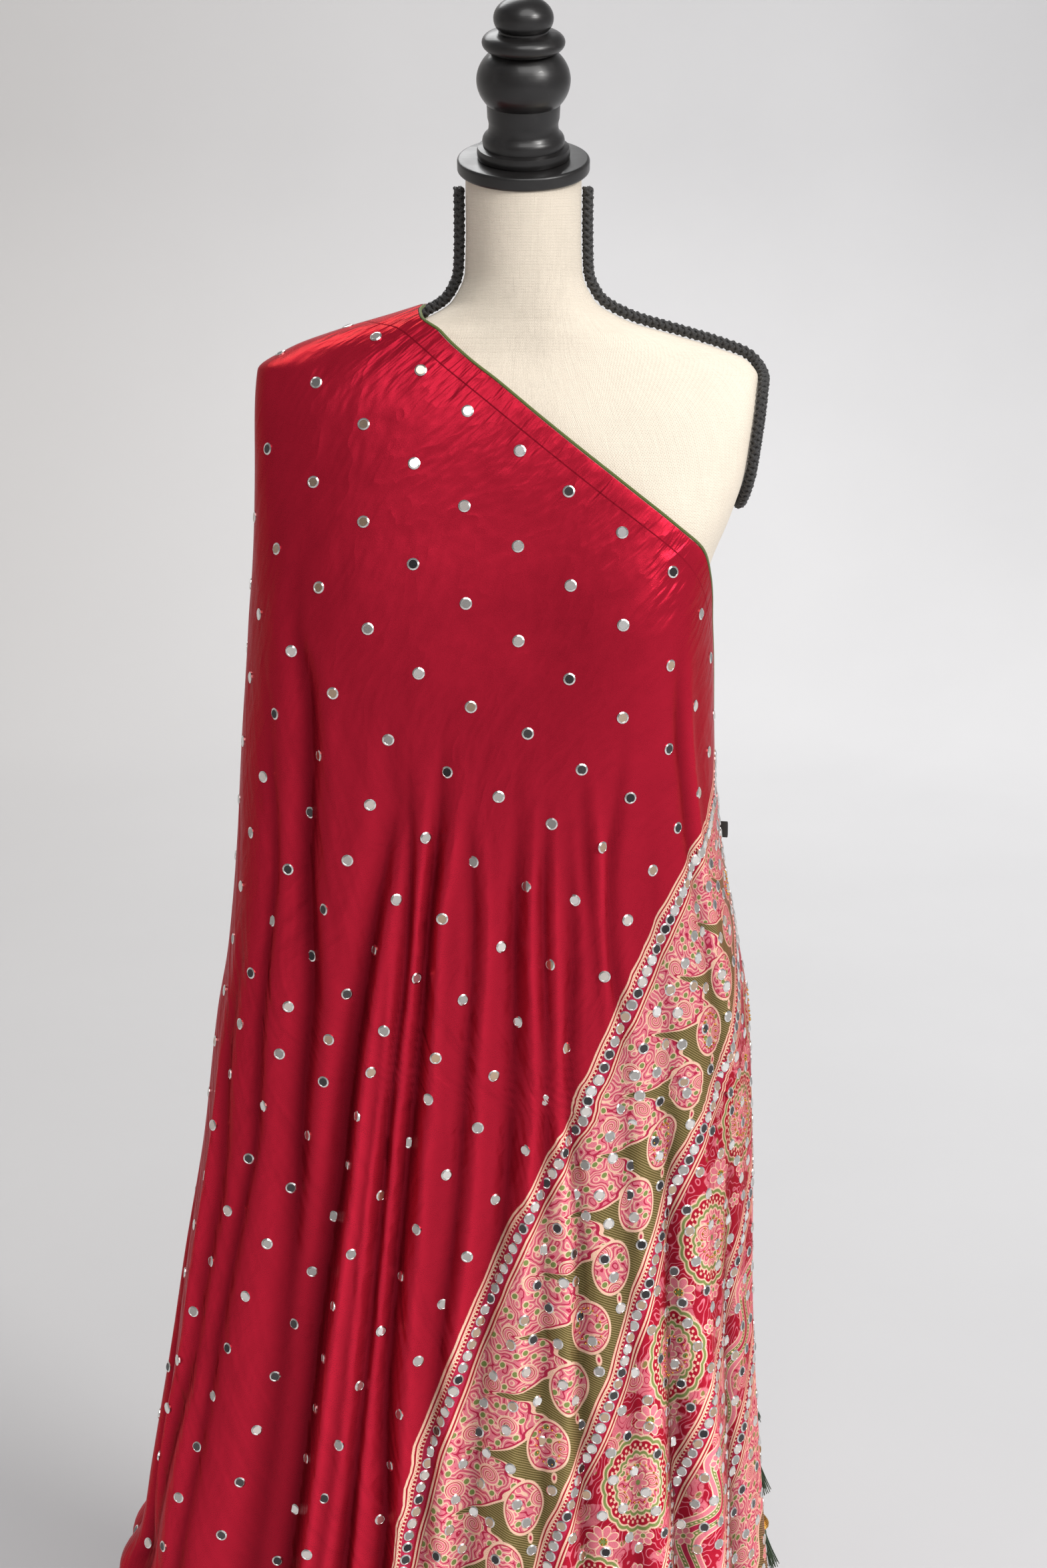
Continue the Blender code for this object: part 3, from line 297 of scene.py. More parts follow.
# Distances along the cloth from its printed end's edge
PRINT_REACH = 0.600
SIDE_REACH = 1.060
PRINT_LINES = (
    (PRINT_START, PRINT_REACH, 3.0), (SECOND_ROW, 0.490, 1.5), (THIRD_ROW, 0.385, 0.8),
    (FOURTH_ROW, 0.310, 0.8),
)


def read_rows(rows, key, column=1):
    """Read a column of a table at many keys with a smooth curve that doesn't overshoot."""
    table = np.array(sorted(rows))
    keys, values = table[:, 0], table[:, column]
    key = np.clip(key, keys[0], keys[-1])
    spot = np.clip(np.searchsorted(keys, key, side="right") - 1, 0, len(keys) - 2)
    steps = np.diff(values) / np.diff(keys)
    slopes = np.empty(len(keys))
    slopes[0], slopes[-1] = steps[0], steps[-1]
    before, after = steps[:-1], steps[1:]
    same = before * after > 0
    slopes[1:-1] = np.where(same, 2 * before * after / np.where(same, before + after, 1.0), 0.0)
    span = np.diff(keys)[spot]
    part = (key - keys[spot]) / span
    return (
        values[spot] * (1 + 2 * part) * (1 - part) ** 2
        + slopes[spot] * span * part * (1 - part) ** 2
        + values[spot + 1] * part * part * (3 - 2 * part)
        + slopes[spot + 1] * span * part * part * (part - 1)
    )


def smooth_step(part):
    """An even ramp from 0 to 1."""
    part = np.clip(part, 0.0, 1.0)
    return part * part * (3 - 2 * part)


def ring(angle, side_width, front, back, squareness):
    """Points of a rounded-square section, as x and y."""
    turn = np.radians(angle)
    across, along = np.sin(turn), np.cos(turn)
    reach = (np.abs(across) ** squareness + np.abs(along) ** squareness) ** (-1.0 / squareness)
    depth = np.where(along > 0, front, back)
    return side_width * reach * across, -depth * reach * along


def bust_swell(angle, amount):
    """Two soft swells at the front of a section."""
    return sum(
        amount * np.exp(-((angle - side * BUST_ANGLE) / BUST_SPREAD) ** 2) for side in (-1, 1)
    )


def torso_point(angle, z):
    """Points on the form's linen surface."""
    width, front, back, bust, square = (read_rows(TORSO, z, column) for column in range(1, 6))
    x, y = ring(angle, width, front, back, square)
    lift = 1.0 + bust_swell(angle, bust) / front
    lean = NECK_LEAN * np.maximum(0.0, (z - LEAN_START_Z) / (NECK_TOP_Z - LEAN_START_Z))
    tilt = math.tan(NECK_TILT) * np.maximum(0.0, (z - TILT_START_Z) / (NECK_TOP_Z - TILT_START_Z))
    return np.stack([x * lift, y * lift + lean, z + tilt * y], -1)


def fold_offset(angle, z):
    """How far the broad folds carry the drape out."""
    total = 0.0
    for top_angle, top_z, low_angle, low_z, depth, width in FOLDS:
        part = np.clip((top_z - z) / (top_z - low_z), 0.0, FOLD_LOW_SHARE)
        centre = top_angle + (low_angle - top_angle) * part
        spread = width * (FOLD_START_WIDTH + (1.0 - FOLD_START_WIDTH) * part)
        shape = np.exp(-((angle - centre) / spread) ** 2)
        total = total + depth * smooth_step(part * FOLD_RISE) * shape
    return total


def crease_offset(angle, z, narrow=True):
    """How far the creases carry the drape out; a crease that ends above the hem fades there."""
    total = 0.0
    for top_depth, low_depth, top_width, low_width, rise, line in CREASES:
        if not narrow and low_width < BROAD_CREASE:
            continue
        top, low = line[0][0], line[-1][0]
        part = np.clip((top - z) / (top - low), 0.0, 1.0)
        centre = read_rows(line, z)
        width = top_width + (low_width - top_width) * part
        depth = (top_depth + (low_depth - top_depth) * part) * smooth_step((top - z) / rise)
        if low > CREASE_FADE_Z:
            depth = depth * smooth_step((z - low + CREASE_FADE) / CREASE_FADE)
        total = total + depth * np.exp(-np.abs((angle - centre) / width) ** CREASE_POWER)
    return total


def drape_point(angle, z, narrow=True):
    """Points on the outer face of the cloth where it hangs free."""
    left, right, front, back, bust, square = (read_rows(DRAPE, z, column) for column in range(1, 7))
    turn = np.radians(angle)
    width = np.where(np.sin(turn) < 0, left, right)
    x, y = ring(angle, width, front, back, square)
    lift = 1.0 + bust_swell(angle, bust) / front
    out_x, out_y = np.sin(turn) / width, -np.cos(turn) / front
    size = np.hypot(out_x, out_y)
    folds = fold_offset(angle, z) + crease_offset(angle, z, narrow)
    if narrow:
        folds = folds + soft_wrinkles(angle, z)
    return np.stack([x * lift + out_x / size * folds, y * lift + out_y / size * folds, z + 0 * x], -1)


def soft_wrinkles(angle, z):
    """Low wrinkles that follow the fall of the cloth, a millimetre or less."""
    reach = np.radians(angle) * WRINKLE_RADIUS
    drop = WRINKLE_TOP_Z - z
    total = 0.0
    for number in range(WRINKLES):
        turn = GOLDEN_TURN * number
        across = 26.0 + 17.0 * number + 5.0 * math.sin(turn)
        down = 3.0 + 2.4 * math.cos(turn * 1.7)
        drift = 5.0 * np.sin(down * 0.8 * drop + number) + 0.6 * np.sin(11.0 * drop + turn)
        total = total + np.sin(across * reach + drift * math.cos(turn) + turn) / (1.0 + 0.55 * number)
    chest = 0.35 + 0.65 * smooth_step((1.16 - z) / 0.25)
    return WRINKLE_HEIGHT * total * chest * smooth_step(drop / 0.05)


def skirt_envelope(angle, z):
    """The smooth form round the outermost folds of the wrapped skirt."""
    width, front, back = (read_rows(SKIRT, z, column) for column in range(1, 4))
    x, y = ring(angle, width, front, back, SKIRT_SQUARENESS)
    return np.stack([x, y, z + 0 * x], -1)


def skirt_point(angle, z):
    """Points on the outer face of the wrapped skirt, with its waves and pleats."""
    turn = np.radians(angle)
    wave = np.cos(turn * SKIRT_WAVES + WAVE_DRIFT * np.sin(turn * 2)) - 1.0
    zone = np.exp(-((angle / PLEAT_SPREAD) ** 2))
    pleats = zone * (np.cos(turn * FRONT_PLEATS) - 1.0)
    depth = read_rows(SKIRT, z, 4)
    offset = 0.5 * depth * (wave * (1 - zone) + pleats)
    fine = np.sin(turn * 31 + 3.0 * z) + 0.6 * np.sin(turn * 47 - 5.0 * z + 1.0)
    offset = offset + depth * FINE_SHARE * (fine - 1.6)
    out = np.stack([np.sin(turn), -np.cos(turn), 0 * turn], -1)
    return skirt_envelope(angle, z) + out * offset[..., None]


def cape_point(angle, z, narrow=True):
    """Points on the outer face of the drape, drawn in where it is wrapped or pinned."""
    free = drape_point(angle, z, narrow)
    wrapped = 1.0 - smooth_step((angle - HUG_ANGLE) / HUG_SPREAD)
    wrapped = wrapped * (1.0 - smooth_step((z - HUG_TOP_Z) / HUG_FADE_Z))
    off = ((angle - CORNER_ANGLE) / CORNER_SPREAD) ** 2 + ((z - CORNER_Z) / CORNER_SPREAD_Z) ** 2
    share = np.maximum(wrapped, np.exp(-off))[..., None]
    close = skirt_envelope(angle, z)
    outward = close * np.array([1.0, 1.0, 0.0])
    outward /= np.linalg.norm(outward, axis=-1, keepdims=True)
    return free + (close + outward * CLOTH_CLEAR - free) * share


def row_height(row, angle):
    """Height of a row of the drape: rows 0 to 1 are level, rows 1 to 2 slant to the hem."""
    level = np.interp(row * (len(SHOULDER_ROWS) - 1), range(len(SHOULDER_ROWS)), SHOULDER_ROWS)
    hem = read_rows(HEM, angle)
    slanting = UNDERARM_Z + (hem - UNDERARM_Z) * (row - 1.0)
    return np.where(row <= 1.0, level, slanting)


EDGE_PASSES = 20


def edge_angle(edge, row, guide):
    """The angle where each row meets an edge, found by a few passes."""
    angle = read_rows(edge, row_height(row, np.full_like(row, guide)))
    for _ in range(EDGE_PASSES):
        angle = 0.5 * angle + 0.5 * read_rows(edge, row_height(row, angle))
    return angle


def far_angle(row):
    """Angle of the selvedge or the end's edge at each row."""
    return edge_angle(FRONT_SELVEDGE, row, 100.0)


def back_angle(row):
    """Angle of the back stretch's edge at each row."""
    return edge_angle(BACK_EDGE, row, -180.0)


def lay_flat(points, guess, pull, target):
    """Lay a grid of points flat with as little stretch as the cloth allows."""
    rows, cols = points.shape[:2]
    number = np.arange(rows * cols).reshape(rows, cols)
    a, b, c, d = number[:-1, :-1], number[1:, :-1], number[1:, 1:], number[:-1, 1:]
    faces = np.concatenate([np.stack(f, -1).reshape(-1, 3) for f in ((a, b, c), (a, c, d))])
    place = points.reshape(-1, 3)
    side, other = place[faces[:, 1]] - place[faces[:, 0]], place[faces[:, 2]] - place[faces[:, 0]]
    length = np.linalg.norm(side, axis=1)
    across = (side * other).sum(1) / length
    rise = np.sqrt(np.maximum((other ** 2).sum(1) - across ** 2, 1e-12))
    zero = np.zeros_like(length)
    flat = np.stack([zero, zero, length, zero, across, rise], -1).reshape(-1, 3, 2)
    ends, drops, weights = [], [], []
    for corner in range(3):
        i, j = (corner + 1) % 3, (corner + 2) % 3
        u, v = flat[:, i] - flat[:, corner], flat[:, j] - flat[:, corner]
        weight = (u * v).sum(1) / np.abs(u[:, 0] * v[:, 1] - u[:, 1] * v[:, 0])
        ends.append((faces[:, i], faces[:, j]))
        drops.append(flat[:, i] - flat[:, j])
        weights.append(np.clip(0.5 * weight, *STIFFNESS))
    size = rows * cols
    start = np.concatenate([np.concatenate(e) for e in ends])
    finish = np.concatenate([np.concatenate(e[::-1]) for e in ends])
    joined = np.concatenate([np.concatenate([w, w]) for w in weights])
    pairs, spot = np.unique(start * size + finish, return_inverse=True)
    joined = np.bincount(spot, joined)
    start, finish = pairs // size, pairs % size
    degree = np.bincount(start, joined, size)
    laid = guess.reshape(-1, 2).copy()
    pull, target = pull.reshape(-1, 2), target.reshape(-1, 2)
    for _ in range(FLAT_PASSES):
        moved = np.zeros_like(laid)
        spread = [laid[i] - laid[j] for i, j in ends]
        even = sum(w * (s * f).sum(1) for w, s, f in zip(weights, spread, drops))
        odd = sum(w * (s[:, 1] * f[:, 0] - s[:, 0] * f[:, 1]) for w, s, f in zip(weights, spread, drops))
        scale = np.hypot(even, odd) + 1e-12
        even, odd = even / scale, odd / scale
        for (i, j), w, f in zip(ends, weights, drops):
            turned = np.stack([even * f[:, 0] - odd * f[:, 1], odd * f[:, 0] + even * f[:, 1]], -1)
            for axis in range(2):
                share = w * turned[:, axis]
                moved[:, axis] += np.bincount(i, share, size) - np.bincount(j, share, size)
        for axis in range(2):
            diagonal = degree + pull[:, axis]
            wanted = moved[:, axis] + pull[:, axis] * target[:, axis]
            value = laid[:, axis]

            def spread_out(x, diagonal=diagonal):
                return diagonal * x - np.bincount(start, joined * x[finish], size)

            rest = wanted - spread_out(value)
            ready = rest / diagonal
            heading = ready.copy()
            energy = (rest * ready).sum()
            for _ in range(FLAT_STEPS):
                push = spread_out(heading)
                move = energy / max((heading * push).sum(), 1e-30)
                value = value + move * heading
                rest = rest - move * push
                ready = rest / diagonal
                fresh = (rest * ready).sum()
                heading = ready + heading * (fresh / max(energy, 1e-30))
                energy = fresh
            laid[:, axis] = value
    return laid.reshape(rows, cols, 2)


# Grid of the flat map, the share of its rows that are level, and how it is worked out
MAP_ROWS = 91
MAP_COLUMNS = 201
MAP_LEVEL_SHARE = 0.42
FLAT_PASSES = 30
FLAT_STEPS = 110
STIFFNESS = (0.02, 20.0)
# How strongly the map is drawn to its upper edge and to the mirrors seen on the crimson
EDGE_PULL = 3.0
EDGE_PULL_Z = 1.0
PIN_PULL = 1.2
# The furthest in degrees that a grid point lies off a line that it stands for
LINE_NEAR = 2.0


def map_grid():
    """Rows, angles and places of the grid on which the cloth is laid flat."""
    share = np.linspace(0, 1, MAP_ROWS)
    row = np.where(
        share < MAP_LEVEL_SHARE,
        share / MAP_LEVEL_SHARE,
        1 + (share - MAP_LEVEL_SHARE) / (1 - MAP_LEVEL_SHARE),
    )
    start, end = back_angle(row), far_angle(row)
    angle = start[:, None] + (end - start)[:, None] * np.linspace(0, 1, MAP_COLUMNS)
    z = row_height(row[:, None] + 0 * angle, angle)
    return row, angle, z, cape_point(angle, z, narrow=False)


def cloth_map():
    """Where each place of the drape lies on the flat cloth: distance from the end, from the selvedge."""
    row, angle, z, place = map_grid()
    steps = np.linalg.norm(np.diff(place, axis=1), axis=2)
    arc = np.concatenate([np.zeros((len(row), 1)), np.cumsum(steps, axis=1)], axis=1)
    side = np.array([np.interp(SIDE_ANGLE, angle[i], arc[i]) for i in range(len(row))])
    falls = np.linalg.norm(np.diff(place, axis=0), axis=2)
    fall = np.concatenate([np.zeros((1, MAP_COLUMNS)), np.cumsum(falls, axis=0)], axis=0)
    guess = np.stack([SIDE_REACH - (arc - side[:, None]), fall], -1)
    pull = np.zeros_like(guess)
    target = np.zeros_like(guess)
    upper = z[:, -1] > EDGE_PULL_Z
    pull[upper, -1, 1] = EDGE_PULL
    for table, reach, strength in PRINT_LINES:
        for i in range(len(row)):
            off = angle[i] - read_rows(table, z[i])
            spot = int(np.argmin(np.abs(off)))
            if abs(off[spot]) < LINE_NEAR and table[-1][0] < z[i, spot] < table[0][0]:
                pull[i, spot, 0] = strength
                target[i, spot, 0] = reach
    for height, turn, along, across in MIRROR_PINS:
        off = ((angle - turn) / 60.0) ** 2 + (z - height) ** 2 * 9.0
        spot = np.unravel_index(np.argmin(off), off.shape)
        pull[spot] = PIN_PULL
        target[spot] = (PIN_START[0] - PIN_PITCH * along, PIN_START[1] + PIN_PITCH * across)
    return row, lay_flat(place, guess, pull, target)


def catmull_read(values, down, across):
    """Read a grid between its points with a smooth curve both ways."""
    rows, cols = values.shape[:2]

    def weights(part):
        return (
            -0.5 * part + part ** 2 - 0.5 * part ** 3,
            1 - 2.5 * part ** 2 + 1.5 * part ** 3,
            0.5 * part + 2 * part ** 2 - 1.5 * part ** 3,
            -0.5 * part ** 2 + 0.5 * part ** 3,
        )

    top = np.clip(np.floor(down).astype(int), 0, rows - 2)
    left = np.clip(np.floor(across).astype(int), 0, cols - 2)
    down_parts, across_parts = weights(down - top), weights(across - left)
    total = 0.0
    for i in range(4):
        for j in range(4):
            r, c = np.clip(top + i - 1, 0, rows - 1), np.clip(left + j - 1, 0, cols - 1)
            total = total + values[r, c] * (down_parts[i] * across_parts[j])[..., None]
    return total


def linear(code):
    """A colour's hexadecimal code as linear red, green and blue."""
    parts = [int(code[spot:spot + 2], 16) / 255.0 for spot in (0, 2, 4)]
    return tuple(p / 12.92 if p <= 0.04045 else ((p + 0.055) / 1.055) ** 2.4 for p in parts)


def colour_choice(name, code, description):
    """One colour that a user can change."""
    return bpy.props.FloatVectorProperty(
        name=name, description=description, subtype="COLOR", size=3, min=0.0, max=1.0,
        default=linear(code),
    )


def length_choice(name, usual, least, most, description):
    """One length that a user can change."""
    return bpy.props.FloatProperty(
        name=name, description=description, default=usual, min=least, max=most,
        subtype="DISTANCE", unit="LENGTH",
    )


class SareeSizes(bpy.types.PropertyGroup):
    """Sizes of the cloth and of what is sewn on it."""

    cloth_thickness: length_choice(
        "Cloth thickness", 0.0010, 0.0003, 0.002, "Thickness of the drape's shell")
    mirror_width: length_choice("Mirror width", 0.009, 0.004, 0.015, "Width of the round mirrors")
    mirror_rise: length_choice(
        "Mirror rise", 0.0011, 0.0003, 0.002, "How far a mirror's face stands off the cloth")
    row_pitch: length_choice(
        "Row pitch", 0.0098, 0.007, 0.02, "Step between mirrors in the printed end's close rows")
    bead_width: length_choice("Bead width", 0.0019, 0.001, 0.003, "Width of the small gold beads")
    tassel_threads: bpy.props.IntProperty(
        name="Threads", description="Threads in each tassel", default=64, min=20, max=200)


class SareeColours(bpy.types.PropertyGroup):
    """Colours of the cloth, its print and the form."""

    crimson: colour_choice("Crimson", "A61C30", "Plain ground of the satin")
    cream: colour_choice("Cream", "F2C6AC", "Outlines of the print")
    pink: colour_choice("Pink", "DE7A88", "Light ground of the vine bands")
    rose: colour_choice("Rose", "B42E4C", "Darker fillings of the print")
    leaf: colour_choice("Leaf green", "7E8A50", "Leaves and rings of the print")
    olive: colour_choice("Olive", "5E5330", "Pinstriped ground of the print")
    tan: colour_choice("Tan", "96845A", "Pinstripes on the olive ground")
    linen: colour_choice("Linen", "EFE3D1", "Cover of the form")
    moss: colour_choice("Moss", "5C6A2C", "Piping on the upper selvedge")
    thread: colour_choice("Tassel thread", "2A4420", "Threads of the tassels")
    gold: colour_choice("Gold", "D9A24A", "Wire on the tassel drops and small beads")


def colours():
    """The chosen colours."""
    return bpy.context.scene.saree_colours


def sizes():
    """The chosen sizes."""
    return bpy.context.scene.saree_sizes


class Term:
    """A number that changes over a surface, worked on as plain numbers are."""

    def __init__(self, tree, socket):
        self.tree, self.socket = tree, socket

    def use(self, kind, *others):
        node = self.tree.nodes.new("ShaderNodeMath")
        node.operation = kind
        for slot, value in zip(node.inputs, (self,) + others):
            join(self.tree, slot, value)
        return Term(self.tree, node.outputs[0])

    def __add__(self, other):
        return self.use("ADD", other)

    def __sub__(self, other):
        return self.use("SUBTRACT", other)

    def __mul__(self, other):
        return self.use("MULTIPLY", other)

    def __truediv__(self, other):
        return self.use("DIVIDE", other)

    def __rsub__(self, other):
        return self.use("MULTIPLY_ADD", -1.0, other)

    __radd__ = __add__
    __rmul__ = __mul__

    def size(self):
        return self.use("ABSOLUTE")

    def fraction(self):
        return self.use("FRACT")

    def wrap(self, period):
        """This number folded into one period about zero."""
        return self.use("WRAP", period / 2, -period / 2)

    def ramp(self, low, high):
        """A soft step from 0 at low to 1 at high."""
        node = self.tree.nodes.new("ShaderNodeMapRange")
        node.interpolation_type = "SMOOTHSTEP"
        join(self.tree, node.inputs["Value"], self)
        join(self.tree, node.inputs["From Min"], low)
        join(self.tree, node.inputs["From Max"], high)
        return Term(self.tree, node.outputs["Result"])

    def under(self, edge, soft=0.18):
        """1 below an edge, 0 above it."""
        return 1.0 - (self - edge).ramp(-soft, soft)

    def near(self, middle, half, soft=0.18):
        """1 within half of the middle."""
        return (self - middle).size().under(half, soft)


def join(tree, slot, value):
    """Set or link one input."""
    if isinstance(value, Term):
        tree.links.new(value.socket, slot)
    elif slot.type == "RGBA" and len(value) == 3:
        slot.default_value = (*value, 1.0)
    else:
        slot.default_value = value


def node_of(tree, kind, values=None, **settings):
    """Add a node with its settings and inputs."""
    node = tree.nodes.new(kind)
    for name, value in settings.items():
        setattr(node, name, value)
    for name, value in (values or {}).items():
        join(tree, node.inputs[name], value)
    return node


def blend(tree, share, first, second, kind="MIX"):
    """Mix two colours."""
    node = tree.nodes.new("ShaderNodeMix")
    node.data_type = "RGBA"
    node.blend_type = kind
    for slot, value in ((0, share), (6, first), (7, second)):
        join(tree, node.inputs[slot], value)
    return Term(tree, node.outputs[2])


def painted(tree, body, *coats):
    """Lay coats of colour over each other, each given by its share and its colour."""
    for share, colour in coats:
        body = blend(tree, share, body, colour)
    return body


def shaded(tree, shade, colour):
    """A colour darkened or lightened by one number."""
    return blend(tree, 1.0, vector(tree, shade, shade, shade), colour, "MULTIPLY")


def vector(tree, x, y, z=0.0):
    """Three numbers as one vector."""
    return Term(tree, node_of(tree, "ShaderNodeCombineXYZ", {"X": x, "Y": y, "Z": z}).outputs[0])


def parts(tree, value):
    """One vector as three numbers."""
    node = node_of(tree, "ShaderNodeSeparateXYZ", {"Vector": value})
    return [Term(tree, node.outputs[number]) for number in range(3)]


def noise(tree, place, scale, detail=2.0, rough=0.5):
    """Soft noise about 0.5."""
    node = node_of(
        tree, "ShaderNodeTexNoise",
        {"Vector": place, "Scale": scale, "Detail": detail, "Roughness": rough},
    )
    return Term(tree, node.outputs[0])


def streaked(tree, x, y, z=0.0, detail=2.0, rough=0.5):
    """Soft noise about 0.5, stretched by what its three numbers are multiplied with."""
    return noise(tree, vector(tree, x, y, z), 1.0, detail, rough)


def distance(a, b):
    """Length of two numbers taken across each other."""
    return (a * a + b * b).use("SQRT")


def group(name, inputs, outputs):
    """An empty node group with named inputs and outputs."""
    tree = bpy.data.node_groups.new(name, "ShaderNodeTree")
    for label, kind, value in inputs:
        socket = tree.interface.new_socket(label, in_out="INPUT", socket_type="NodeSocket" + kind)
        if value is not None:
            socket.default_value = value
    for label, kind in outputs:
        tree.interface.new_socket(label, in_out="OUTPUT", socket_type="NodeSocket" + kind)
    start, end = tree.nodes.new("NodeGroupInput"), tree.nodes.new("NodeGroupOutput")
    return tree, [Term(tree, start.outputs[spot]) for spot in range(len(inputs))], end


def placed(tree, name, **values):
    """Place a node group, made once, in a tree and return its outputs by name."""
    makers = {
        "Satin crepe": crepe_group, "Plain weave": weave_group, "Turning marks": turned_group,
        "Vine print": vine_group, "Ajrakh print": print_group,
    }
    if name not in bpy.data.node_groups:
        makers[name]()
    node = tree.nodes.new("ShaderNodeGroup")
    node.node_tree = bpy.data.node_groups[name]
    for label, value in values.items():
        join(tree, node.inputs[label.replace("_", " ")], value)
    return {socket.name: Term(tree, socket) for socket in node.outputs}


def new_material(name, roughness, metallic=0.0, **sockets):
    """An empty material and its shader, with what is the same all over set on the sockets."""
    made = bpy.data.materials.new(name)
    made.use_nodes = True
    tree = made.node_tree
    shader = tree.nodes["Principled BSDF"]
    shader.inputs["Roughness"].default_value = roughness
    shader.inputs["Metallic"].default_value = metallic
    for label, value in sockets.items():
        join(tree, shader.inputs[label.replace("_", " ")], value)
    return made, tree, shader


def bumped(tree, shader, height, distance, strength=1.0):
    """Raise the surface by a height."""
    node = node_of(tree, "ShaderNodeBump", {"Height": height, "Distance": distance, "Strength": strength})
    tree.links.new(node.outputs[0], shader.inputs["Normal"])


def object_place(tree):
    """The place on the piece in metres."""
    return Term(tree, tree.nodes.new("ShaderNodeTexCoord").outputs["Object"])


# What a surface effect gives: shade, gloss and height
SURFACE = (("Shade", "Float"), ("Gloss", "Float"), ("Height", "Float"))


# Distances from the upper selvedge: the stitched line of its hem, and where the hem's cloth ends
HEM_LINE = 0.0127
HEM_LINE_HALF = 0.0006
HEM_STEP = (0.0122, 0.0132)


def crepe_group():
    """Crepe satin: uneven ink, soft crumples and fine grain, from the flat place in metres."""
    tree, (place,), end = group("Satin crepe", (("Place", "Vector", None),), SURFACE)
    along, across, _ = parts(tree, place)
    drift = noise(tree, place, 3.2, 2.0) - 0.5
    streaks = streaked(tree, along * 42.0 + drift * 6.0, across * 8.0, rough=0.55)
    creases = streaked(tree, along * 24.0 + drift * 4.0, across * 13.0, 3.0, 3.0, 0.6)
    ridge = 1.0 - (creases - 0.5).size() * 5.0
    grain = streaked(tree, along * 1500.0, across * 1100.0, rough=0.7)
    blotch = noise(tree, place, 60.0, 3.0, 0.6)
    shade = 0.90 + (streaks - 0.5) * 0.16 + (blotch - 0.5) * 0.14 + (grain - 0.5) * 0.16
    stitches = across.near(HEM_LINE, HEM_LINE_HALF, HEM_LINE_HALF)
    join(tree, end.inputs["Shade"], shade + 0.10 - stitches * 0.11)
    join(tree, end.inputs["Gloss"], (blotch - 0.5) * 0.14 + (grain - 0.5) * 0.18)
    pucker = streaked(tree, along * 150.0, across * 30.0, 7.0)
    hem = across.ramp(*HEM_STEP)
    falls = streaked(tree, (along + across) * 34.0 + drift * 7.0, (across - along) * 2.6, 11.0)
    falls = falls * across.ramp(0.10, 0.42)
    height = falls * 2.2 + streaks * 0.8 + ridge.use("MAXIMUM", 0.0) * 0.32 + grain * 0.035
    height = height + pucker * (1.0 - across.ramp(0.010, 0.075)) * 1.15 - hem * 0.26
    join(tree, end.inputs["Height"], height)


WEAVE_TONE = 0.93


def weave_group():
    """Plain weave with slubs, from a place in metres: threads run along X and Y."""
    tree, (place, pitch, slub), end = group(
        "Plain weave",
        (("Place", "Vector", None), ("Pitch", "Float", 0.0007), ("Slub", "Float", 1.0)),
        (("Shade", "Float"), ("Height", "Float")),
    )
    x, y, z = parts(tree, place)
    over = (x / pitch * math.pi).use("SINE")
    under = (y / pitch * math.pi).use("SINE")
    threads = over.size() * 0.5 + under.size() * 0.5 + over * under * 0.35
    uneven = (streaked(tree, x * 900.0, y * 55.0, z * 55.0, rough=0.6) - 0.5) * slub
    crossing = (streaked(tree, x * 40.0, y * 700.0, z * 40.0, rough=0.6) - 0.5) * slub
    cloud = noise(tree, place, 14.0, 3.0) - 0.5
    shade = WEAVE_TONE + uneven * 0.34 + crossing * 0.16 + cloud * 0.10 + threads * 0.05
    join(tree, end.inputs["Shade"], shade)
    join(tree, end.inputs["Height"], threads * 0.5 + uneven * 1.2 + crossing * 0.7)


def turned_group():
    """Hand-finished hard surface: faint turning marks and dust, from a place in metres."""
    tree, (place, marks), end = group(
        "Turning marks", (("Place", "Vector", None), ("Marks", "Float", 1.0)), SURFACE)
    x, y, z = parts(tree, place)
    rings = streaked(tree, x * 6.0, y * 6.0, z * 900.0, rough=0.6)
    dust = noise(tree, place, 42.0, 5.0, 0.65)
    join(tree, end.inputs["Shade"], 0.75 + rings * 0.25 + dust.ramp(0.52, 0.75) * 0.9)
    join(tree, end.inputs["Gloss"], (dust - 0.5) * 0.30 + (rings - 0.5) * 0.14 * marks)
    join(tree, end.inputs["Height"], rings * marks)


def vine_group():
    """A vine of curls and small leaves outlined in cream, from distance and width in millimetres."""
    c = colours()
    tree, (u, t, shift), end = group(
        "Vine print",
        (("Distance", "Float", 0.0), ("Width", "Float", 0.0), ("Shift", "Float", 0.0)),
        (("Colour", "Color"), ("Line", "Float")),
    )
    field = streaked(tree, u / 12.0, t / 14.0, 2.0, 0.6) * 8.0
    ridge = (field.fraction() - 0.5).size()
    line = ridge.under(0.095, 0.03)
    cells = vector(tree, (u + t * 0.3) / 10.5, (t - u * 0.3) / 14.0)
    leaf = Term(tree, node_of(
        tree, "ShaderNodeTexVoronoi", {"Vector": cells, "Scale": 1.0, "Randomness": 0.7},
        voronoi_dimensions="2D", feature="F1").outputs["Distance"])
    col = (u - shift) / 21.0
    a = (t + col.use("FLOOR") * 23.0).wrap(47.0)
    b = (col.fraction() - 0.5) * 21.0
    reach = distance(a, b)
    curl = ((reach / 3.7 - b.use("ARCTAN2", a) / (2 * math.pi)).fraction() - 0.5) * 3.7
    whorl = painted(tree, c.rose, (curl.near(0.0, 1.25), c.pink), (curl.size().near(1.15, 0.28), c.cream))
    body = painted(
        tree, c.pink, (ridge.ramp(0.39, 0.43), c.rose), (line, c.cream),
        (leaf.under(0.255, 0.02), c.cream), (leaf.under(0.180, 0.02), c.leaf),
        (reach.under(7.6, 0.25), whorl), (reach.near(7.6, 0.5), c.cream))
    join(tree, end.inputs["Colour"], body)
    join(tree, end.inputs["Line"], line)


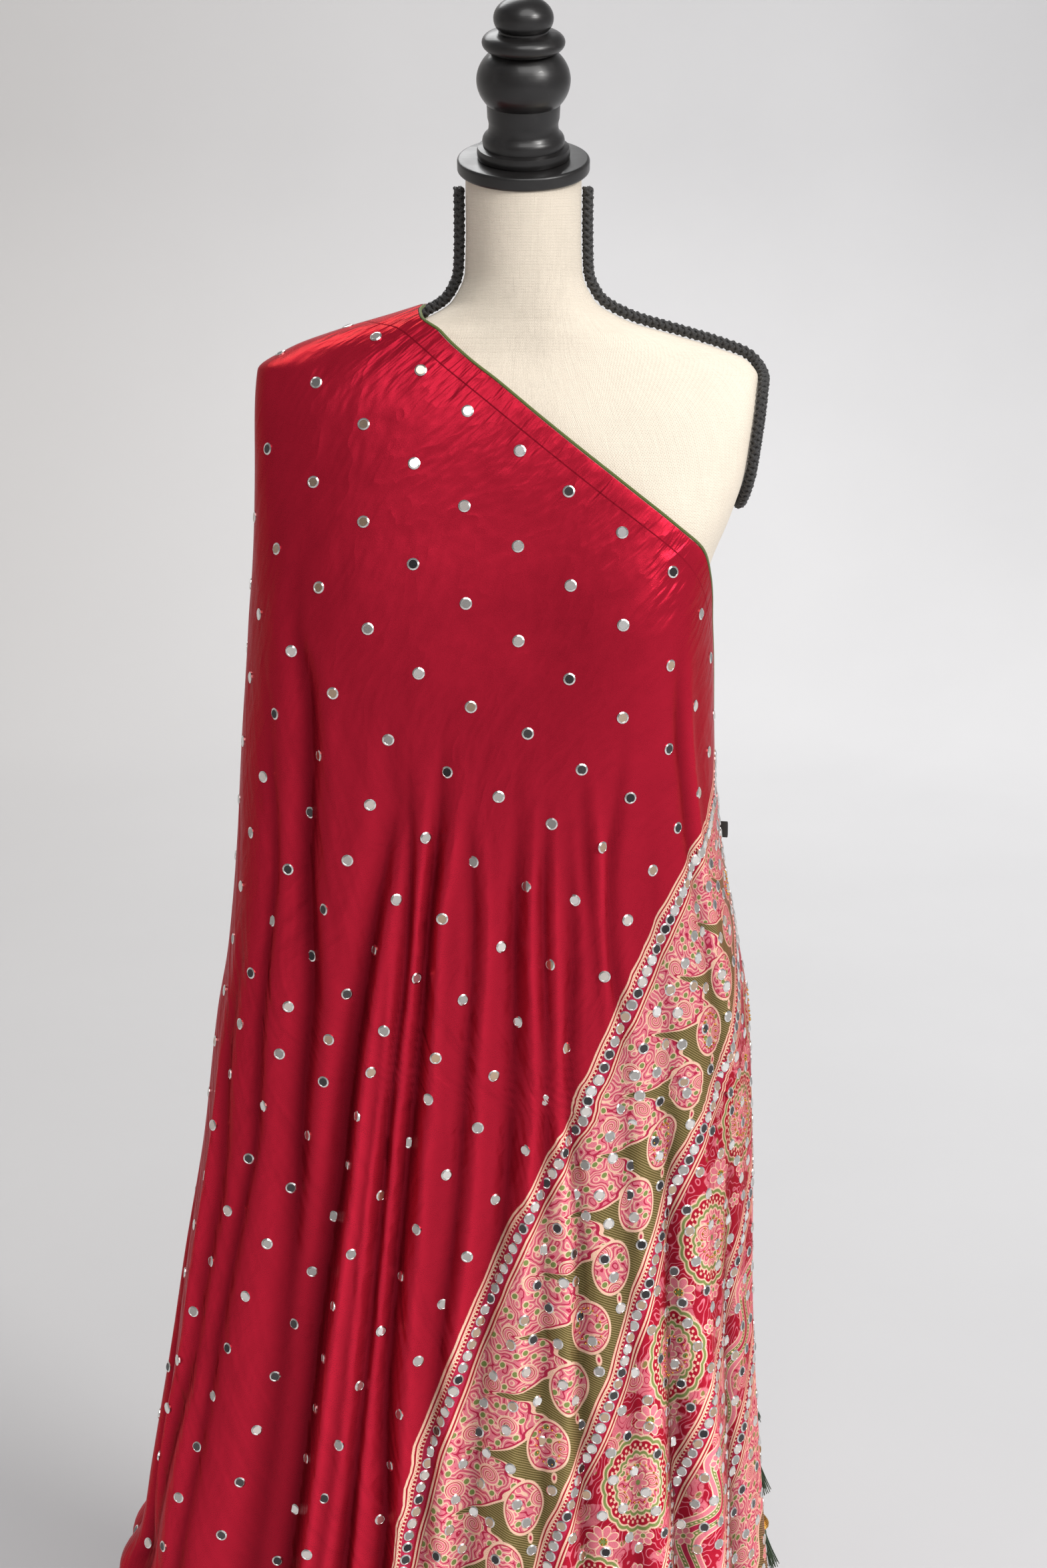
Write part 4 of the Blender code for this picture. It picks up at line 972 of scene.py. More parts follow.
LOBED_EDGE = (
    (0.00, 0.62), (0.07, 0.54), (0.13, 0.42), (0.19, 0.22), (0.24, 0.50), (0.30, 0.64), (0.38, 0.68),
    (0.46, 0.70), (0.52, 0.80), (0.58, 0.86), (0.65, 0.84), (0.72, 0.76), (0.80, 0.72), (0.88, 0.73),
    (0.94, 0.68), (1.00, 0.62),
)
REPEAT = 54.0
LOBE_SHEAR = 0.45
# Where each close row of mirrors starts, its half-width and its line of mirrors, in millimetres
ROW_STARTS = (0.0, 110.0, 215.0, 290.0, 404.0)
ROW_HALF = 10.7
ROW_MIDDLE = 10.9
# Where the print's second, third and last bands begin, in millimetres
BAND_STARTS = (121.0, 226.0, 301.0)
# Repeat of the medallions, and their first one, in millimetres
MEDALLION_REPEAT = 108.0
MEDALLION_START = 20.0
OVAL_START = 16.0
TILT = 0.35


def row_colours(tree, ground, x, t):
    """The lines on both sides of a close row of mirrors; x runs across the row in millimetres."""
    c = colours()
    pair = x.near(1.0, 0.75) + x.near(3.4, 0.55)
    loops = ((t / 3.4).fraction() - 0.5) * 3.4
    scallop = distance(loops, x - 5.6).near(1.5, 0.42, 0.16)
    far = x.near(17.8, 0.75) + x.near(20.4, 0.6)
    marks = (pair + scallop * x.under(6.6) + far).use("MINIMUM", 1.0)
    return painted(
        tree, ground, (x.near(ROW_HALF, ROW_HALF), c.crimson), (x.near(ROW_MIDDLE, 4.6), c.rose),
        (marks, c.cream))


def medallion_colours(tree, ground, filling, du, dt, half_u, half_t, turn, count):
    """A tilted round of scalloped and dotted rings with a flower in the middle."""
    c = colours()
    cosine, sine = math.cos(turn), math.sin(turn)
    a = (dt * cosine + du * sine) / half_t
    b = (du * cosine - dt * sine) / half_u
    reach = distance(a, b)
    way = b.use("ARCTAN2", a)
    lobes = (way * (count / 2.0)).use("SINE").size()
    edge = reach - lobes * 0.05
    soft = 0.014

    def within(shape, *rings):
        return [(shape.under(at, soft), colour) for at, colour in rings]

    def dots(ring_at, turned):
        spots = ((way * (count * 2.0) + turned).use("COSINE") * 0.5 + 0.5).ramp(0.5, 0.8)
        return reach.near(ring_at, 0.027, soft) * spots, c.cream

    petals = reach - ((way * 3.0).use("SINE").size() * 0.13 + 0.10)
    return painted(
        tree, ground,
        *within(edge, (0.97, c.cream), (0.935, c.leaf), (0.865, c.cream), (0.835, c.crimson)),
        dots(0.79, 0.0), dots(0.715, math.pi),
        *within(edge, (0.655, c.cream), (0.625, c.leaf), (0.56, c.cream), (0.53, filling)),
        *within(petals, (0.06, c.rose), (0.03, c.cream), (-0.01, c.pink)),
        *within(reach, (0.06, c.leaf)))


def flower_colours(tree, ground, du, dt, petals, radius):
    """A petalled flower outlined in cream, with a green eye."""
    c = colours()
    reach = distance(du, dt)
    way = du.use("ARCTAN2", dt)
    edge = reach - (way * (petals / 2.0)).use("COSINE").size() * radius * 0.34
    veins = (way * (petals / 2.0)).use("SINE").size().ramp(0.90, 0.98) * reach.under(radius * 0.72)
    return painted(
        tree, ground, (edge.under(radius * 0.66), c.cream), (edge.under(radius * 0.66 - 1.1), c.pink),
        (veins, c.cream), (reach.under(radius * 0.30), c.cream),
        (reach.under(radius * 0.30 - 0.9), c.leaf))


def print_group():
    """The whole printed end, from the flat place in millimetres: distance from its first row of
    mirrors towards the end's edge, and width from the upper selvedge."""
    c = colours()
    tree, (u, t), end = group(
        "Ajrakh print", (("Distance", "Float", 0.0), ("Width", "Float", 0.0)), (("Colour", "Color"),)
    )
    wobble = streaked(tree, u * 0.02, t * 0.02, 5.0, 1.0) - 0.5
    u, t = u + wobble * 3.0, t + wobble * 3.0

    vine = placed(tree, "Vine print", Distance=u, Width=t, Shift=3.0)["Colour"]
    pins = t.wrap(1.9).size().under(0.42, 0.2)
    olive = blend(tree, pins, c.olive, c.tan)
    phase = (t + u * LOBE_SHEAR) / REPEAT
    curve = tree.nodes.new("ShaderNodeFloatCurve")
    line = curve.mapping.curves[0]
    line.points[0].location, line.points[1].location = LOBED_EDGE[0], LOBED_EDGE[-1]
    for place in LOBED_EDGE[1:-1]:
        line.points.new(*place)
    curve.mapping.update()
    join(tree, curve.inputs["Value"], phase.fraction())
    off = (u - 24.0) - Term(tree, curve.outputs[0]) * 65.0
    dt = (t - OVAL_START).wrap(REPEAT)
    du = u - 88.0
    a, b = (dt * 0.94 + du * 0.34) / 23.0, (du * 0.94 - dt * 0.34) / 15.0
    reach = distance(a, b)
    scallop = reach + (b.use("ARCTAN2", a) * 2.0 + 0.6).use("SINE") * 0.06
    tail = (a - 1.12) * (a - 1.12) * 3.0 + (b - 0.35) * (b - 0.35) * 6.0
    band = painted(
        tree, vine, (off.ramp(-0.3, 0.3), olive), (off.near(-2.6, 1.3), c.rose),
        (off.near(0.0, 1.5), c.cream), (tail.under(0.13, 0.04), c.cream),
        (tail.under(0.03, 0.02), c.rose), (scallop.under(1.02, 0.02), c.cream),
        (scallop.under(0.92, 0.02), c.rose),
        (scallop.under(0.87, 0.02), vine))

    sprigs = placed(tree, "Vine print", Distance=u + 200.0, Width=t * 0.8 + 31.0, Shift=9.0)
    sparse = streaked(tree, u / 26.0, t / 26.0, 9.0, 1.0).ramp(0.52, 0.55)
    ground = blend(tree, sprigs["Line"] * 0.9, c.crimson, c.pink)
    ground = blend(tree, sparse * (1.0 - sprigs["Line"]) * 0.75, ground, sprigs["Colour"])
    dt = (t - MEDALLION_START).wrap(MEDALLION_REPEAT)
    second = ground
    for at, start, petals, radius in ((160.0, 74.0, 8, 14.0), (192.0, 62.0, 6, 9.0), (196.0, 92.0, 5, 7.0)):
        aside = (t - start).wrap(MEDALLION_REPEAT)
        second = flower_colours(tree, second, u - at, aside, petals, radius)
    second = medallion_colours(tree, second, vine, u - 172.0, dt, 32.0, 43.0, TILT, 18)

    sway = (t / 11.5).use("SINE") * 11.0
    ribbon = (u - 262.0 - sway).size()
    beads = (t / 3.0 * math.pi).use("SINE").size().ramp(0.6, 0.85)
    third = painted(
        tree, ground, (ribbon.under(15.0), c.cream), (ribbon.under(13.6), c.pink),
        (ribbon.under(9.0), c.cream), (ribbon.under(7.8), c.leaf),
        (ribbon.near(5.6, 0.8) * beads, c.cream), (ribbon.under(3.0), c.rose),
        (ribbon.near(3.0, 0.45), c.cream))
    third = flower_colours(tree, third, u - 250.0, (t - 54.0).wrap(72.3), 6, 9.0)

    border = u - 372.0 - (t / 8.6).use("SINE") * 5.0
    last = painted(tree, vine, (border.ramp(-0.4, 0.4), olive), (border.near(0.0, 1.4), c.cream))
    last = flower_colours(tree, last, u - 392.0, (t - 10.0).wrap(27.0), 6, 7.0)

    bands = zip(BAND_STARTS, (second, third, last))
    whole = painted(tree, band, *((u.ramp(start, start + 0.4), colour) for start, colour in bands))
    for start in ROW_STARTS:
        row = row_colours(tree, c.crimson, u - start, t)
        whole = blend(tree, u.near(start + ROW_HALF, ROW_HALF), whole, row)
    whole = blend(tree, (0.0 - u).ramp(-0.2, 0.2), whole, c.crimson)
    join(tree, end.inputs["Colour"], whole)


SATIN_ROUGHNESS = 0.29
# How strongly the fold depth darkens troughs and lightens ridges: painted shade and painted highlight
PAINTED_FOLD_SHADE = 0.56
MIRROR_MARKS = 0.2
RIM_ROUGHNESS = 0.16
FACE_ROUGHNESS = 0.07


def satin_material(name, printed):
    """Crimson crepe satin; the printed one carries the ajrakh print past its first row of mirrors."""
    c = colours()
    made, tree, shader = new_material(
        name, SATIN_ROUGHNESS, 0.55, Specular_IOR_Level=0.08, Specular_Tint=(0.80, 0.16, 0.20),
        Anisotropic=0.35,
    )
    flat = node_of(tree, "ShaderNodeUVMap", uv_map="Flat cloth")
    place = Term(tree, flat.outputs[0])
    crepe = placed(tree, "Satin crepe", Place=place)
    colour = c.crimson
    if printed:
        along, across, _ = parts(tree, place)
        whole = placed(
            tree, "Ajrakh print", Distance=(PRINT_REACH - along) * 1000.0, Width=across * 1000.0)
        colour = whole["Colour"]
    fold = Term(tree, node_of(tree, "ShaderNodeAttribute", attribute_name="fold").outputs["Fac"])
    # Painted shade and highlight: troughs of folds are darkened and ridges lightened in the base colour
    shade = crepe["Shade"] * (1.0 - fold * PAINTED_FOLD_SHADE)
    join(tree, shader.inputs["Base Color"], shaded(tree, shade, colour))
    join(tree, shader.inputs["Roughness"], crepe["Gloss"] + SATIN_ROUGHNESS)
    bumped(tree, shader, crepe["Height"], 0.0022, 0.85)
    return made


def woven_material(name, colour, pitch, slub, roughness, depth, upright=False):
    """A matt woven or corded finish with its threads raised."""
    made, tree, shader = new_material(name, roughness, 0.0, Sheen_Weight=0.15, Sheen_Roughness=0.5)
    x, y, z = parts(tree, object_place(tree))
    around = y.use("ARCTAN2", x) * 0.14 if upright else x + y
    weave = placed(tree, "Plain weave", Place=vector(tree, around, z, x), Pitch=pitch, Slub=slub)
    join(tree, shader.inputs["Base Color"], shaded(tree, weave["Shade"], tuple(colour)))
    join(tree, shader.inputs["Roughness"], roughness + (weave["Shade"] - WEAVE_TONE) * 0.4)
    bumped(tree, shader, weave["Height"], depth)
    return made


def hard_material(name, colour, roughness, metallic, marks):
    """A turned or drawn hard finish."""
    made, tree, shader = new_material(name, roughness, metallic, Coat_Weight=0.15 if marks < 1 else 0.0)
    finish = placed(tree, "Turning marks", Place=object_place(tree), Marks=marks)
    join(tree, shader.inputs["Base Color"], shaded(tree, finish["Shade"], tuple(colour)))
    join(tree, shader.inputs["Roughness"], roughness + finish["Gloss"])
    bumped(tree, shader, finish["Height"], 0.0002, 0.35)
    return made


# Painted reflections of the mirror faces, from the darkest to the lightest: dark, grey, tan and white
# surroundings painted into the face colour
FACE_PAINTED_REFLECTIONS = (
    (0.0, (0.03, 0.03, 0.035)), (0.3, (0.12, 0.11, 0.11)), (0.5, (0.60, 0.58, 0.55)),
    (0.72, (0.62, 0.44, 0.30)), (1.0, (0.98, 0.97, 0.95)),
)


def mirror_materials():
    """Silvered rim and face of the round mirrors; each face's colour carries its own painted reflection."""
    rim, tree, shader = new_material("Mirror rim", RIM_ROUGHNESS, 1.0)
    finish = placed(tree, "Turning marks", Place=object_place(tree), Marks=MIRROR_MARKS)
    silver = blend(tree, finish["Gloss"] + 0.3, (0.80, 0.78, 0.75), (0.95, 0.95, 0.95))
    join(tree, shader.inputs["Base Color"], silver)
    join(tree, shader.inputs["Roughness"], RIM_ROUGHNESS + finish["Gloss"] * 0.2)
    face, tree, shader = new_material("Mirror face", FACE_ROUGHNESS, 0.9)
    # Painted reflection: each face's colour is read from its attribute, dark, grey, tan or white
    painted_reflection = node_of(tree, "ShaderNodeAttribute", attribute_name="painted_reflection").outputs["Fac"]
    ramp = tree.nodes.new("ShaderNodeValToRGB")
    stops = ramp.color_ramp.elements
    for place, _ in FACE_PAINTED_REFLECTIONS[1:-1]:
        stops.new(place)
    for stop, (place, tint) in zip(stops, FACE_PAINTED_REFLECTIONS):
        stop.position, stop.color = place, (*tint, 1.0)
    tree.links.new(painted_reflection, ramp.inputs[0])
    finish = placed(tree, "Turning marks", Place=object_place(tree), Marks=MIRROR_MARKS)
    silver = shaded(tree, finish["Gloss"] + 0.95, Term(tree, ramp.outputs[0]))
    join(tree, shader.inputs["Base Color"], silver)
    join(tree, shader.inputs["Roughness"], FACE_ROUGHNESS + finish["Gloss"].size() * 0.3)
    return rim, face


def stage_material():
    """Pale matt floor and backdrop, with a painted soft shadow that darkens it towards the viewer's left.
    """
    made, tree, shader = new_material("Studio paper", 0.9)
    place = object_place(tree)
    cloud = noise(tree, place, 1.5, 3.0)
    paper = blend(tree, cloud, (0.57, 0.57, 0.58), (0.62, 0.62, 0.63))
    # Painted shadow: the paper is darkened towards the viewer's left
    painted_shadow = (0.0 - parts(tree, place)[0]).ramp(-1.2, 3.2)
    join(tree, shader.inputs["Base Color"], blend(tree, painted_shadow, paper, (0.36, 0.35, 0.345)))
    return made


def look(name):
    """A finish by its name, made once."""
    c = colours()
    makers = {
        "Printed satin": (satin_material, True),
        "Crimson satin": (satin_material, False),
        "Moss piping": (woven_material, c.moss, 0.0006, 0.6, 0.6, 0.0004),
        "Black tape": (woven_material, (0.012, 0.012, 0.012), 0.0007, 0.4, 0.55, 0.0004),
        "Green thread": (woven_material, c.thread, 0.0004, 1.6, 0.5, 0.0002),
        "Cream linen": (woven_material, c.linen, 0.0011, 0.45, 0.86, 0.0005, True),
        "Black braid": (woven_material, (0.030, 0.029, 0.029), 0.0008, 1.0, 0.5, 0.0004),
        "Gold wire": (hard_material, c.gold, 0.26, 1.0, 0.4),
        "Black turned wood": (hard_material, (0.012, 0.011, 0.011), 0.34, 0.0, 0.6),
        "Brushed steel": (hard_material, (0.45, 0.45, 0.46), 0.34, 1.0, 1.0),
    }
    make, *values = makers[name]
    return bpy.data.materials.get(name) or make(name, *values)


def put_in_scene(name, places, faces, finishes, sharp=None):
    """Add places and faces to the scene as one smooth piece."""
    mesh = bpy.data.meshes.new(name)
    mesh.from_pydata(np.asarray(places, float).reshape(-1, 3).tolist(), [], faces)
    for finish in finishes:
        mesh.materials.append(finish)
    mesh.shade_smooth()
    if sharp:
        mesh.set_sharp_from_angle(angle=math.radians(sharp))
    made = bpy.data.objects.new(name, mesh)
    bpy.context.scene.collection.objects.link(made)
    return made


def grid_normals(places, closed=False):
    """Outward directions on a grid whose rows go down and columns turn to the viewer's right."""
    down = np.gradient(places, axis=0)
    if closed:
        along = np.roll(places, -1, axis=1) - np.roll(places, 1, axis=1)
    else:
        along = np.gradient(places, axis=1)
    out = np.cross(down, along)
    return out / np.maximum(np.linalg.norm(out, axis=-1, keepdims=True), 1e-12)


# Columns on each side that a fold is measured against, and the depth that counts as full; the satin paints
# shade in troughs and highlight on ridges from it
FOLD_REACH = 9
FOLD_FULL = 0.0042


def fold_depth(places, closed):
    """How deep in a fold each point lies, from 1 in a trough to -1 on a ridge; the satin turns it into
    painted shade and painted highlight.
    """
    reach = np.hypot(places[..., 0], places[..., 1])
    rows = np.pad(reach, ((0, 0), (FOLD_REACH, FOLD_REACH)), mode="wrap" if closed else "reflect")
    window = np.hanning(2 * FOLD_REACH + 3)[1:-1]
    window = window / window.sum()
    level = np.array([np.convolve(row, window, mode="valid") for row in rows])
    return np.clip((level - reach) / FOLD_FULL, -1.0, 1.0)


PLAIN_MARGIN = 0.004
CLOTH_SHARP = 70


def cloth_shell(name, part, looks, closed=False):
    """A closed thin shell of cloth from its outer face, thickened inward, with its flat places. A
    second look is for the plain cloth beyond the print."""
    places, flat = laid(part)
    rows, cols = places.shape[:2]
    inner = places - grid_normals(places, closed) * sizes().cloth_thickness
    outer = np.arange(rows * cols).reshape(rows, cols)
    if closed:
        outer = np.concatenate([outer, outer[:, :1]], axis=1)
    inside = outer + rows * cols
    quads = [
        (outer[:-1, :-1], outer[1:, :-1], outer[1:, 1:], outer[:-1, 1:]),
        (inside[:-1, :-1], inside[:-1, 1:], inside[1:, 1:], inside[1:, :-1]),
        (outer[0, 1:], inside[0, 1:], inside[0, :-1], outer[0, :-1]),
        (outer[-1, :-1], inside[-1, :-1], inside[-1, 1:], outer[-1, 1:]),
    ]
    if not closed:
        quads.append((outer[:-1, 0], inside[:-1, 0], inside[1:, 0], outer[1:, 0]))
        quads.append((outer[1:, -1], inside[1:, -1], inside[:-1, -1], outer[:-1, -1]))
    faces = np.concatenate([np.stack(corners, -1).reshape(-1, 4) for corners in quads])
    made = put_in_scene(name, [places, inner], faces.tolist(), looks, CLOTH_SHARP)
    both = np.concatenate([flat.reshape(-1, 2)] * 2)
    layer = made.data.uv_layers.new(name="Flat cloth")
    layer.data.foreach_set("uv", both[faces.ravel()].ravel())
    # The fold depth, which the satin turns into painted shade in troughs and painted highlight on ridges
    depth = made.data.attributes.new("fold", "FLOAT", "POINT")
    depth.data.foreach_set("value", np.tile(fold_depth(places, closed).ravel(), 2))
    if len(looks) > 1:
        plain = both[faces][:, :, 0].min(axis=1) > PRINT_REACH + PLAIN_MARGIN
        made.data.polygons.foreach_set("material_index", plain.astype(int))
    return made


# The angle about which the front's columns lie closest, how much closer, and over which width
BUSY_ANGLE, BUSY_GAIN, BUSY_SPREAD = -14.0, 2.3, 27.0


def even_columns(start, end, count):
    """Angles of each row's columns, closest where the folds are narrow."""
    table = np.arange(-95.0, 140.0, 0.5)
    weight = 1.0 + BUSY_GAIN * np.exp(-((table - BUSY_ANGLE) / BUSY_SPREAD) ** 2)
    total = np.concatenate([[0.0], np.cumsum((weight[1:] + weight[:-1]) / 2)])
    low, high = np.interp(start, table, total), np.interp(end, table, total)
    return np.interp(low[:, None] + (high - low)[:, None] * np.linspace(0, 1, count), total, table)


def drape_rows(level, slanting):
    """Row values of the fine grids: level rows on the shoulder and chest, slanting rows below."""
    top = np.linspace(0, 1, level, endpoint=False)
    return np.concatenate([top, 1.0 + np.linspace(0, 1, slanting)])


def fine_grid(row, angle):
    """Places and flat places of many points on the drape."""
    row = row[:, None] + 0 * angle
    return cape_point(angle, row_height(row, angle)), read_flat(row, angle)


def front_grid():
    """Fine grid of the front of the drape, printed end and all."""
    row = drape_rows(84, 126)
    return fine_grid(row, even_columns(np.full_like(row, SIDE_ANGLE), far_angle(row), 226))


def back_grid():
    """Fine grid of the stretch up the back and over the shoulder."""
    row = drape_rows(70, 110)
    start = back_angle(row)
    return fine_grid(row, start[:, None] + (SIDE_ANGLE - start)[:, None] * np.linspace(0, 1, 130))


# Flat place of the wrapped skirt's front middle and of the floor, and the radius it is measured on
SKIRT_ALONG = 3.0
SKIRT_FLOOR = 1.05
SKIRT_RADIUS = 0.19


def skirt_grid():
    """Fine grid of the wrapped skirt."""
    turn = np.arange(288) * 1.25 - 180.0
    angle, z = np.meshgrid(turn, np.linspace(SKIRT[-1][0], SKIRT[0][0], 96))
    flat = np.stack([SKIRT_ALONG - np.radians(angle) * SKIRT_RADIUS, SKIRT_FLOOR - z], -1)
    return skirt_point(angle, z), flat


LAID = {}


def laid(part):
    """The flat map or a fine grid of the cloth, worked out once."""
    if part not in LAID:
        makers = {"map": cloth_map, "front": front_grid, "back": back_grid, "skirt": skirt_grid}
        LAID[part] = makers[part]()
    return LAID[part]


def read_flat(row, angle):
    """Flat places of many points; the edges of rows are worked out once a row."""
    rows, values = laid("map")
    start, end = back_angle(row[:, 0]), far_angle(row[:, 0])
    across = (angle - start[:, None]) / (end - start)[:, None] * (MAP_COLUMNS - 1)
    down = np.interp(row, rows, np.arange(len(rows)))
    return catmull_read(values, down, across)


# How many cells off its nearest grid point a spot may lie
NEAR_CELLS = 1.6


def spots_on_cloth(part, wanted):
    """Places and outward directions of flat places on a fine grid; ones off the cloth are left out."""
    places, flat = laid(part)
    rows, cols = flat.shape[:2]
    normals = grid_normals(places)
    found = []
    table = flat.reshape(-1, 2)
    for number, spot in enumerate(wanted):
        k = int(np.argmin(((table - spot) ** 2).sum(1)))
        i, j = divmod(k, cols)
        i, j = min(max(i, 1), rows - 2), min(max(j, 1), cols - 2)
        down = (flat[i + 1, j] - flat[i - 1, j]) / 2
        along = (flat[i, j + 1] - flat[i, j - 1]) / 2
        area = down[0] * along[1] - down[1] * along[0]
        off = spot - flat[i, j]
        if abs(area) < 1e-9:
            continue
        a = (off[0] * along[1] - off[1] * along[0]) / area
        b = (down[0] * off[1] - down[1] * off[0]) / area
        if abs(a) > NEAR_CELLS or abs(b) > NEAR_CELLS:
            continue
        if not 2.0 < i + a < rows - 2.0 or not 1.0 < j + b < cols - 2.0:
            continue
        step_down = (places[i + 1, j] - places[i - 1, j]) / 2
        step_along = (places[i, j + 1] - places[i, j - 1]) / 2
        found.append((number, places[i, j] + a * step_down + b * step_along, normals[i, j]))
    return found


def scattered(number, salt):
    """A steady number from 0 to 1 that looks random."""
    value = math.sin(number * 12.9898 + salt * 78.233) * 43758.5453
    return value - math.floor(value)


# Rows of loose mirrors on the print: distance from its first line, step and start in millimetres
LOOSE_ROWS = (
    (36.0, 27.0, 4.0), (52.0, 27.0, 17.0), (68.0, 54.0, 40.0), (80.0, 54.0, 14.0), (94.0, 54.0, 24.0),
    (103.0, 54.0, 46.0), (134.0, 36.0, 4.0), (149.0, 36.0, 20.0), (164.0, 36.0, 8.0),
    (179.0, 36.0, 26.0), (194.0, 36.0, 2.0), (208.0, 36.0, 16.0), (246.0, 24.1, 0.0),
    (262.0, 24.1, 12.0), (278.0, 24.1, 4.0), (324.0, 27.0, 5.0), (343.0, 27.0, 18.0),
    (361.0, 27.0, 9.0), (386.0, 27.0, 22.0),
)
# How unevenly loose mirrors are sewn on the print and on the crimson
LOOSE_STRAY = 7.0
PIN_STRAY = 0.0016
# The nearest that a mirror comes to the upper selvedge, and the flat place where the back's begin
MIRROR_EDGE = 0.012
BACK_MIRRORS = 0.7
# Lengths that the close rows in metres and the loose rows in millimetres run down the cloth
ROW_LENGTH = 1.12
LOOSE_LENGTH = 1150
# Step between the wrapped skirt's mirrors, and where the drape leaves them in sight
SKIRT_PITCH = 0.0535
OPEN_ANGLES = (44.0, 150.0)
OPEN_TOP_Z = 0.90


def mirror_plan():
    """Flat places of all mirrors on the drape: the crimson's lattice, the print's close rows and
    the loose ones between them."""
    plan = []
    for along in range(-30, 4):
        for across in range(-8, 26):
            plan.append((
                PIN_START[0] - PIN_PITCH * along + PIN_STRAY * (scattered(along * 41 + across, 1) - 0.5),
                PIN_START[1] + PIN_PITCH * across + PIN_STRAY * (scattered(along * 37 + across, 2) - 0.5),
            ))
    pitch = sizes().row_pitch
    for start in ROW_STARTS:
        reach = PRINT_REACH - (start + ROW_MIDDLE) / 1000.0
        plan += [(reach, pitch * (step + 0.5)) for step in range(int(ROW_LENGTH / pitch))]
    for reach, period, start in LOOSE_ROWS:
        for step in range(-2, int(LOOSE_LENGTH / period)):
            plan.append((
                PRINT_REACH - (reach + LOOSE_STRAY * (scattered(step + reach, 10) - 0.5)) / 1000.0,
                (start + period * step + LOOSE_STRAY * (scattered(step + reach, 11) - 0.5)) / 1000.0,
            ))
    return [np.array(spot) for spot in plan if spot[1] > MIRROR_EDGE]


def skirt_plan():
    """Flat places of the mirrors on the wrapped skirt."""
    return [
        np.array([SKIRT_ALONG - SKIRT_PITCH * along, 0.02 + SKIRT_PITCH * across])
        for along in range(-3, 12) for across in range(5, 19)
    ]


def uncovered(place):
    """True where the drape leaves the wrapped skirt in sight."""
    angle = math.degrees(math.atan2(place[0], -place[1]))
    return OPEN_ANGLES[0] < angle < OPEN_ANGLES[1] and place[2] < OPEN_TOP_Z


def frame_about(normal, turn=0.0):
    """Two directions across a normal."""
    side = np.cross(normal, (0.13, 0.21, 0.97))
    side = side / np.linalg.norm(side)
    other = np.cross(normal, side)
    return side * math.cos(turn) + other * math.sin(turn), other * math.cos(turn) - side * math.sin(turn)


def circle(sides):
    """Points of a unit circle, as x and y."""
    turns = np.arange(sides) * 2 * math.pi / sides
    return np.cos(turns), np.sin(turns)


def cap_faces(base, rings, sides):
    """Quads between the rings of a small cap, and triangles from the last ring to its top point."""
    around = [(side, (side + 1) % sides) for side in range(sides)]
    lows = [base + ring * sides for ring in range(rings)]
    quads = [(low + a, low + b, low + sides + b, low + sides + a) for low in lows[:-1] for a, b in around]
    return quads, [(lows[-1] + a, lows[-1] + b, lows[-1] + sides) for a, b in around]


MIRROR_SIDES = 14
MIRROR_SHARP = 25
# Share of the radius and of the rise at a mirror's rings, from the cloth over the rim to the face
MIRROR_RINGS = ((1.0, -0.6), (1.0, 0.5), (0.76, 1.0), (0.72, 0.86))
MIRROR_LEAN = 0.10
ANY_TURN = 6.28
RIM_PAINTED_REFLECTION = 0.9
# Where each painted reflection of the mirror faces ends in a draw from 0 to 1, its darkest and its range
PAINTED_REFLECTION_DRAWS = ((0.26, 0.08, 0.20), (0.50, 0.42, 0.10), (0.72, 0.66, 0.08), (1.00, 0.88, 0.12))


def painted_reflection_of(key):
    """The painted reflection of a mirror's face: dark, grey, tan or white."""
    pick = scattered(key, 6)
    darkest, span = next(painted_reflection[1:] for painted_reflection in PAINTED_REFLECTION_DRAWS if pick < painted_reflection[0])
    return darkest + span * scattered(key, 7)


def mirror_mesh(name, spots, finishes):
    """All mirrors as one mesh: a bevelled silver rim round a slightly tilted face."""
    radius, rise = sizes().mirror_width / 2, sizes().mirror_rise
    outline = np.stack(circle(MIRROR_SIDES), -1) * radius
    places, rims, faces, painted_reflections = [], [], [], []
    for key, place, normal in spots:
        first, second = frame_about(normal, scattered(key, 3) * ANY_TURN)
        lean = np.array([scattered(key, 4) - 0.5, scattered(key, 5) - 0.5]) * MIRROR_LEAN
        quads, tris = cap_faces(len(places), len(MIRROR_RINGS), MIRROR_SIDES)
        for share, height in MIRROR_RINGS:
            for x, y in outline * share:
                lift = rise * height + (x * lean[0] + y * lean[1]) * (1.0 if share < 1 else 0.0)
                places.append(place + first * x + second * y + normal * lift)
        places.append(place + normal * rise * MIRROR_RINGS[-1][1])
        rims += quads
        faces += tris
        painted_reflections += [painted_reflection_of(key)] * MIRROR_SIDES
    made = put_in_scene(name, places, rims + faces, finishes, MIRROR_SHARP)
    # Each face carries its painted reflection, which the face material turns into colour
    layer = made.data.attributes.new("painted_reflection", "FLOAT", "FACE")
    layer.data.foreach_set("value", [RIM_PAINTED_REFLECTION] * len(rims) + painted_reflections)
    made.data.polygons.foreach_set("material_index", [0] * len(rims) + [1] * len(faces))
    return made


BEAD_SIDES = 7
BEAD_RINGS = (-0.55, 0.15, 0.75)
BEAD_LIFT = 0.45


def bead_mesh(name, spots):
    """Small round gold beads as one mesh."""
    radius = sizes().bead_width / 2
    places, faces = [], []
    for _, place, normal in spots:
        first, second = frame_about(normal)
        quads, tris = cap_faces(len(places), len(BEAD_RINGS), BEAD_SIDES)
        faces += quads + tris
        for level in BEAD_RINGS:
            wide = math.sqrt(1 - level * level) * radius
            lift = normal * (level + BEAD_LIFT) * radius
            for x, y in zip(*circle(BEAD_SIDES)):
                places.append(place + first * wide * x + second * wide * y + lift)
        places.append(place + normal * (1.0 + BEAD_LIFT) * radius)
    return put_in_scene(name, places, faces, [look("Gold wire")])


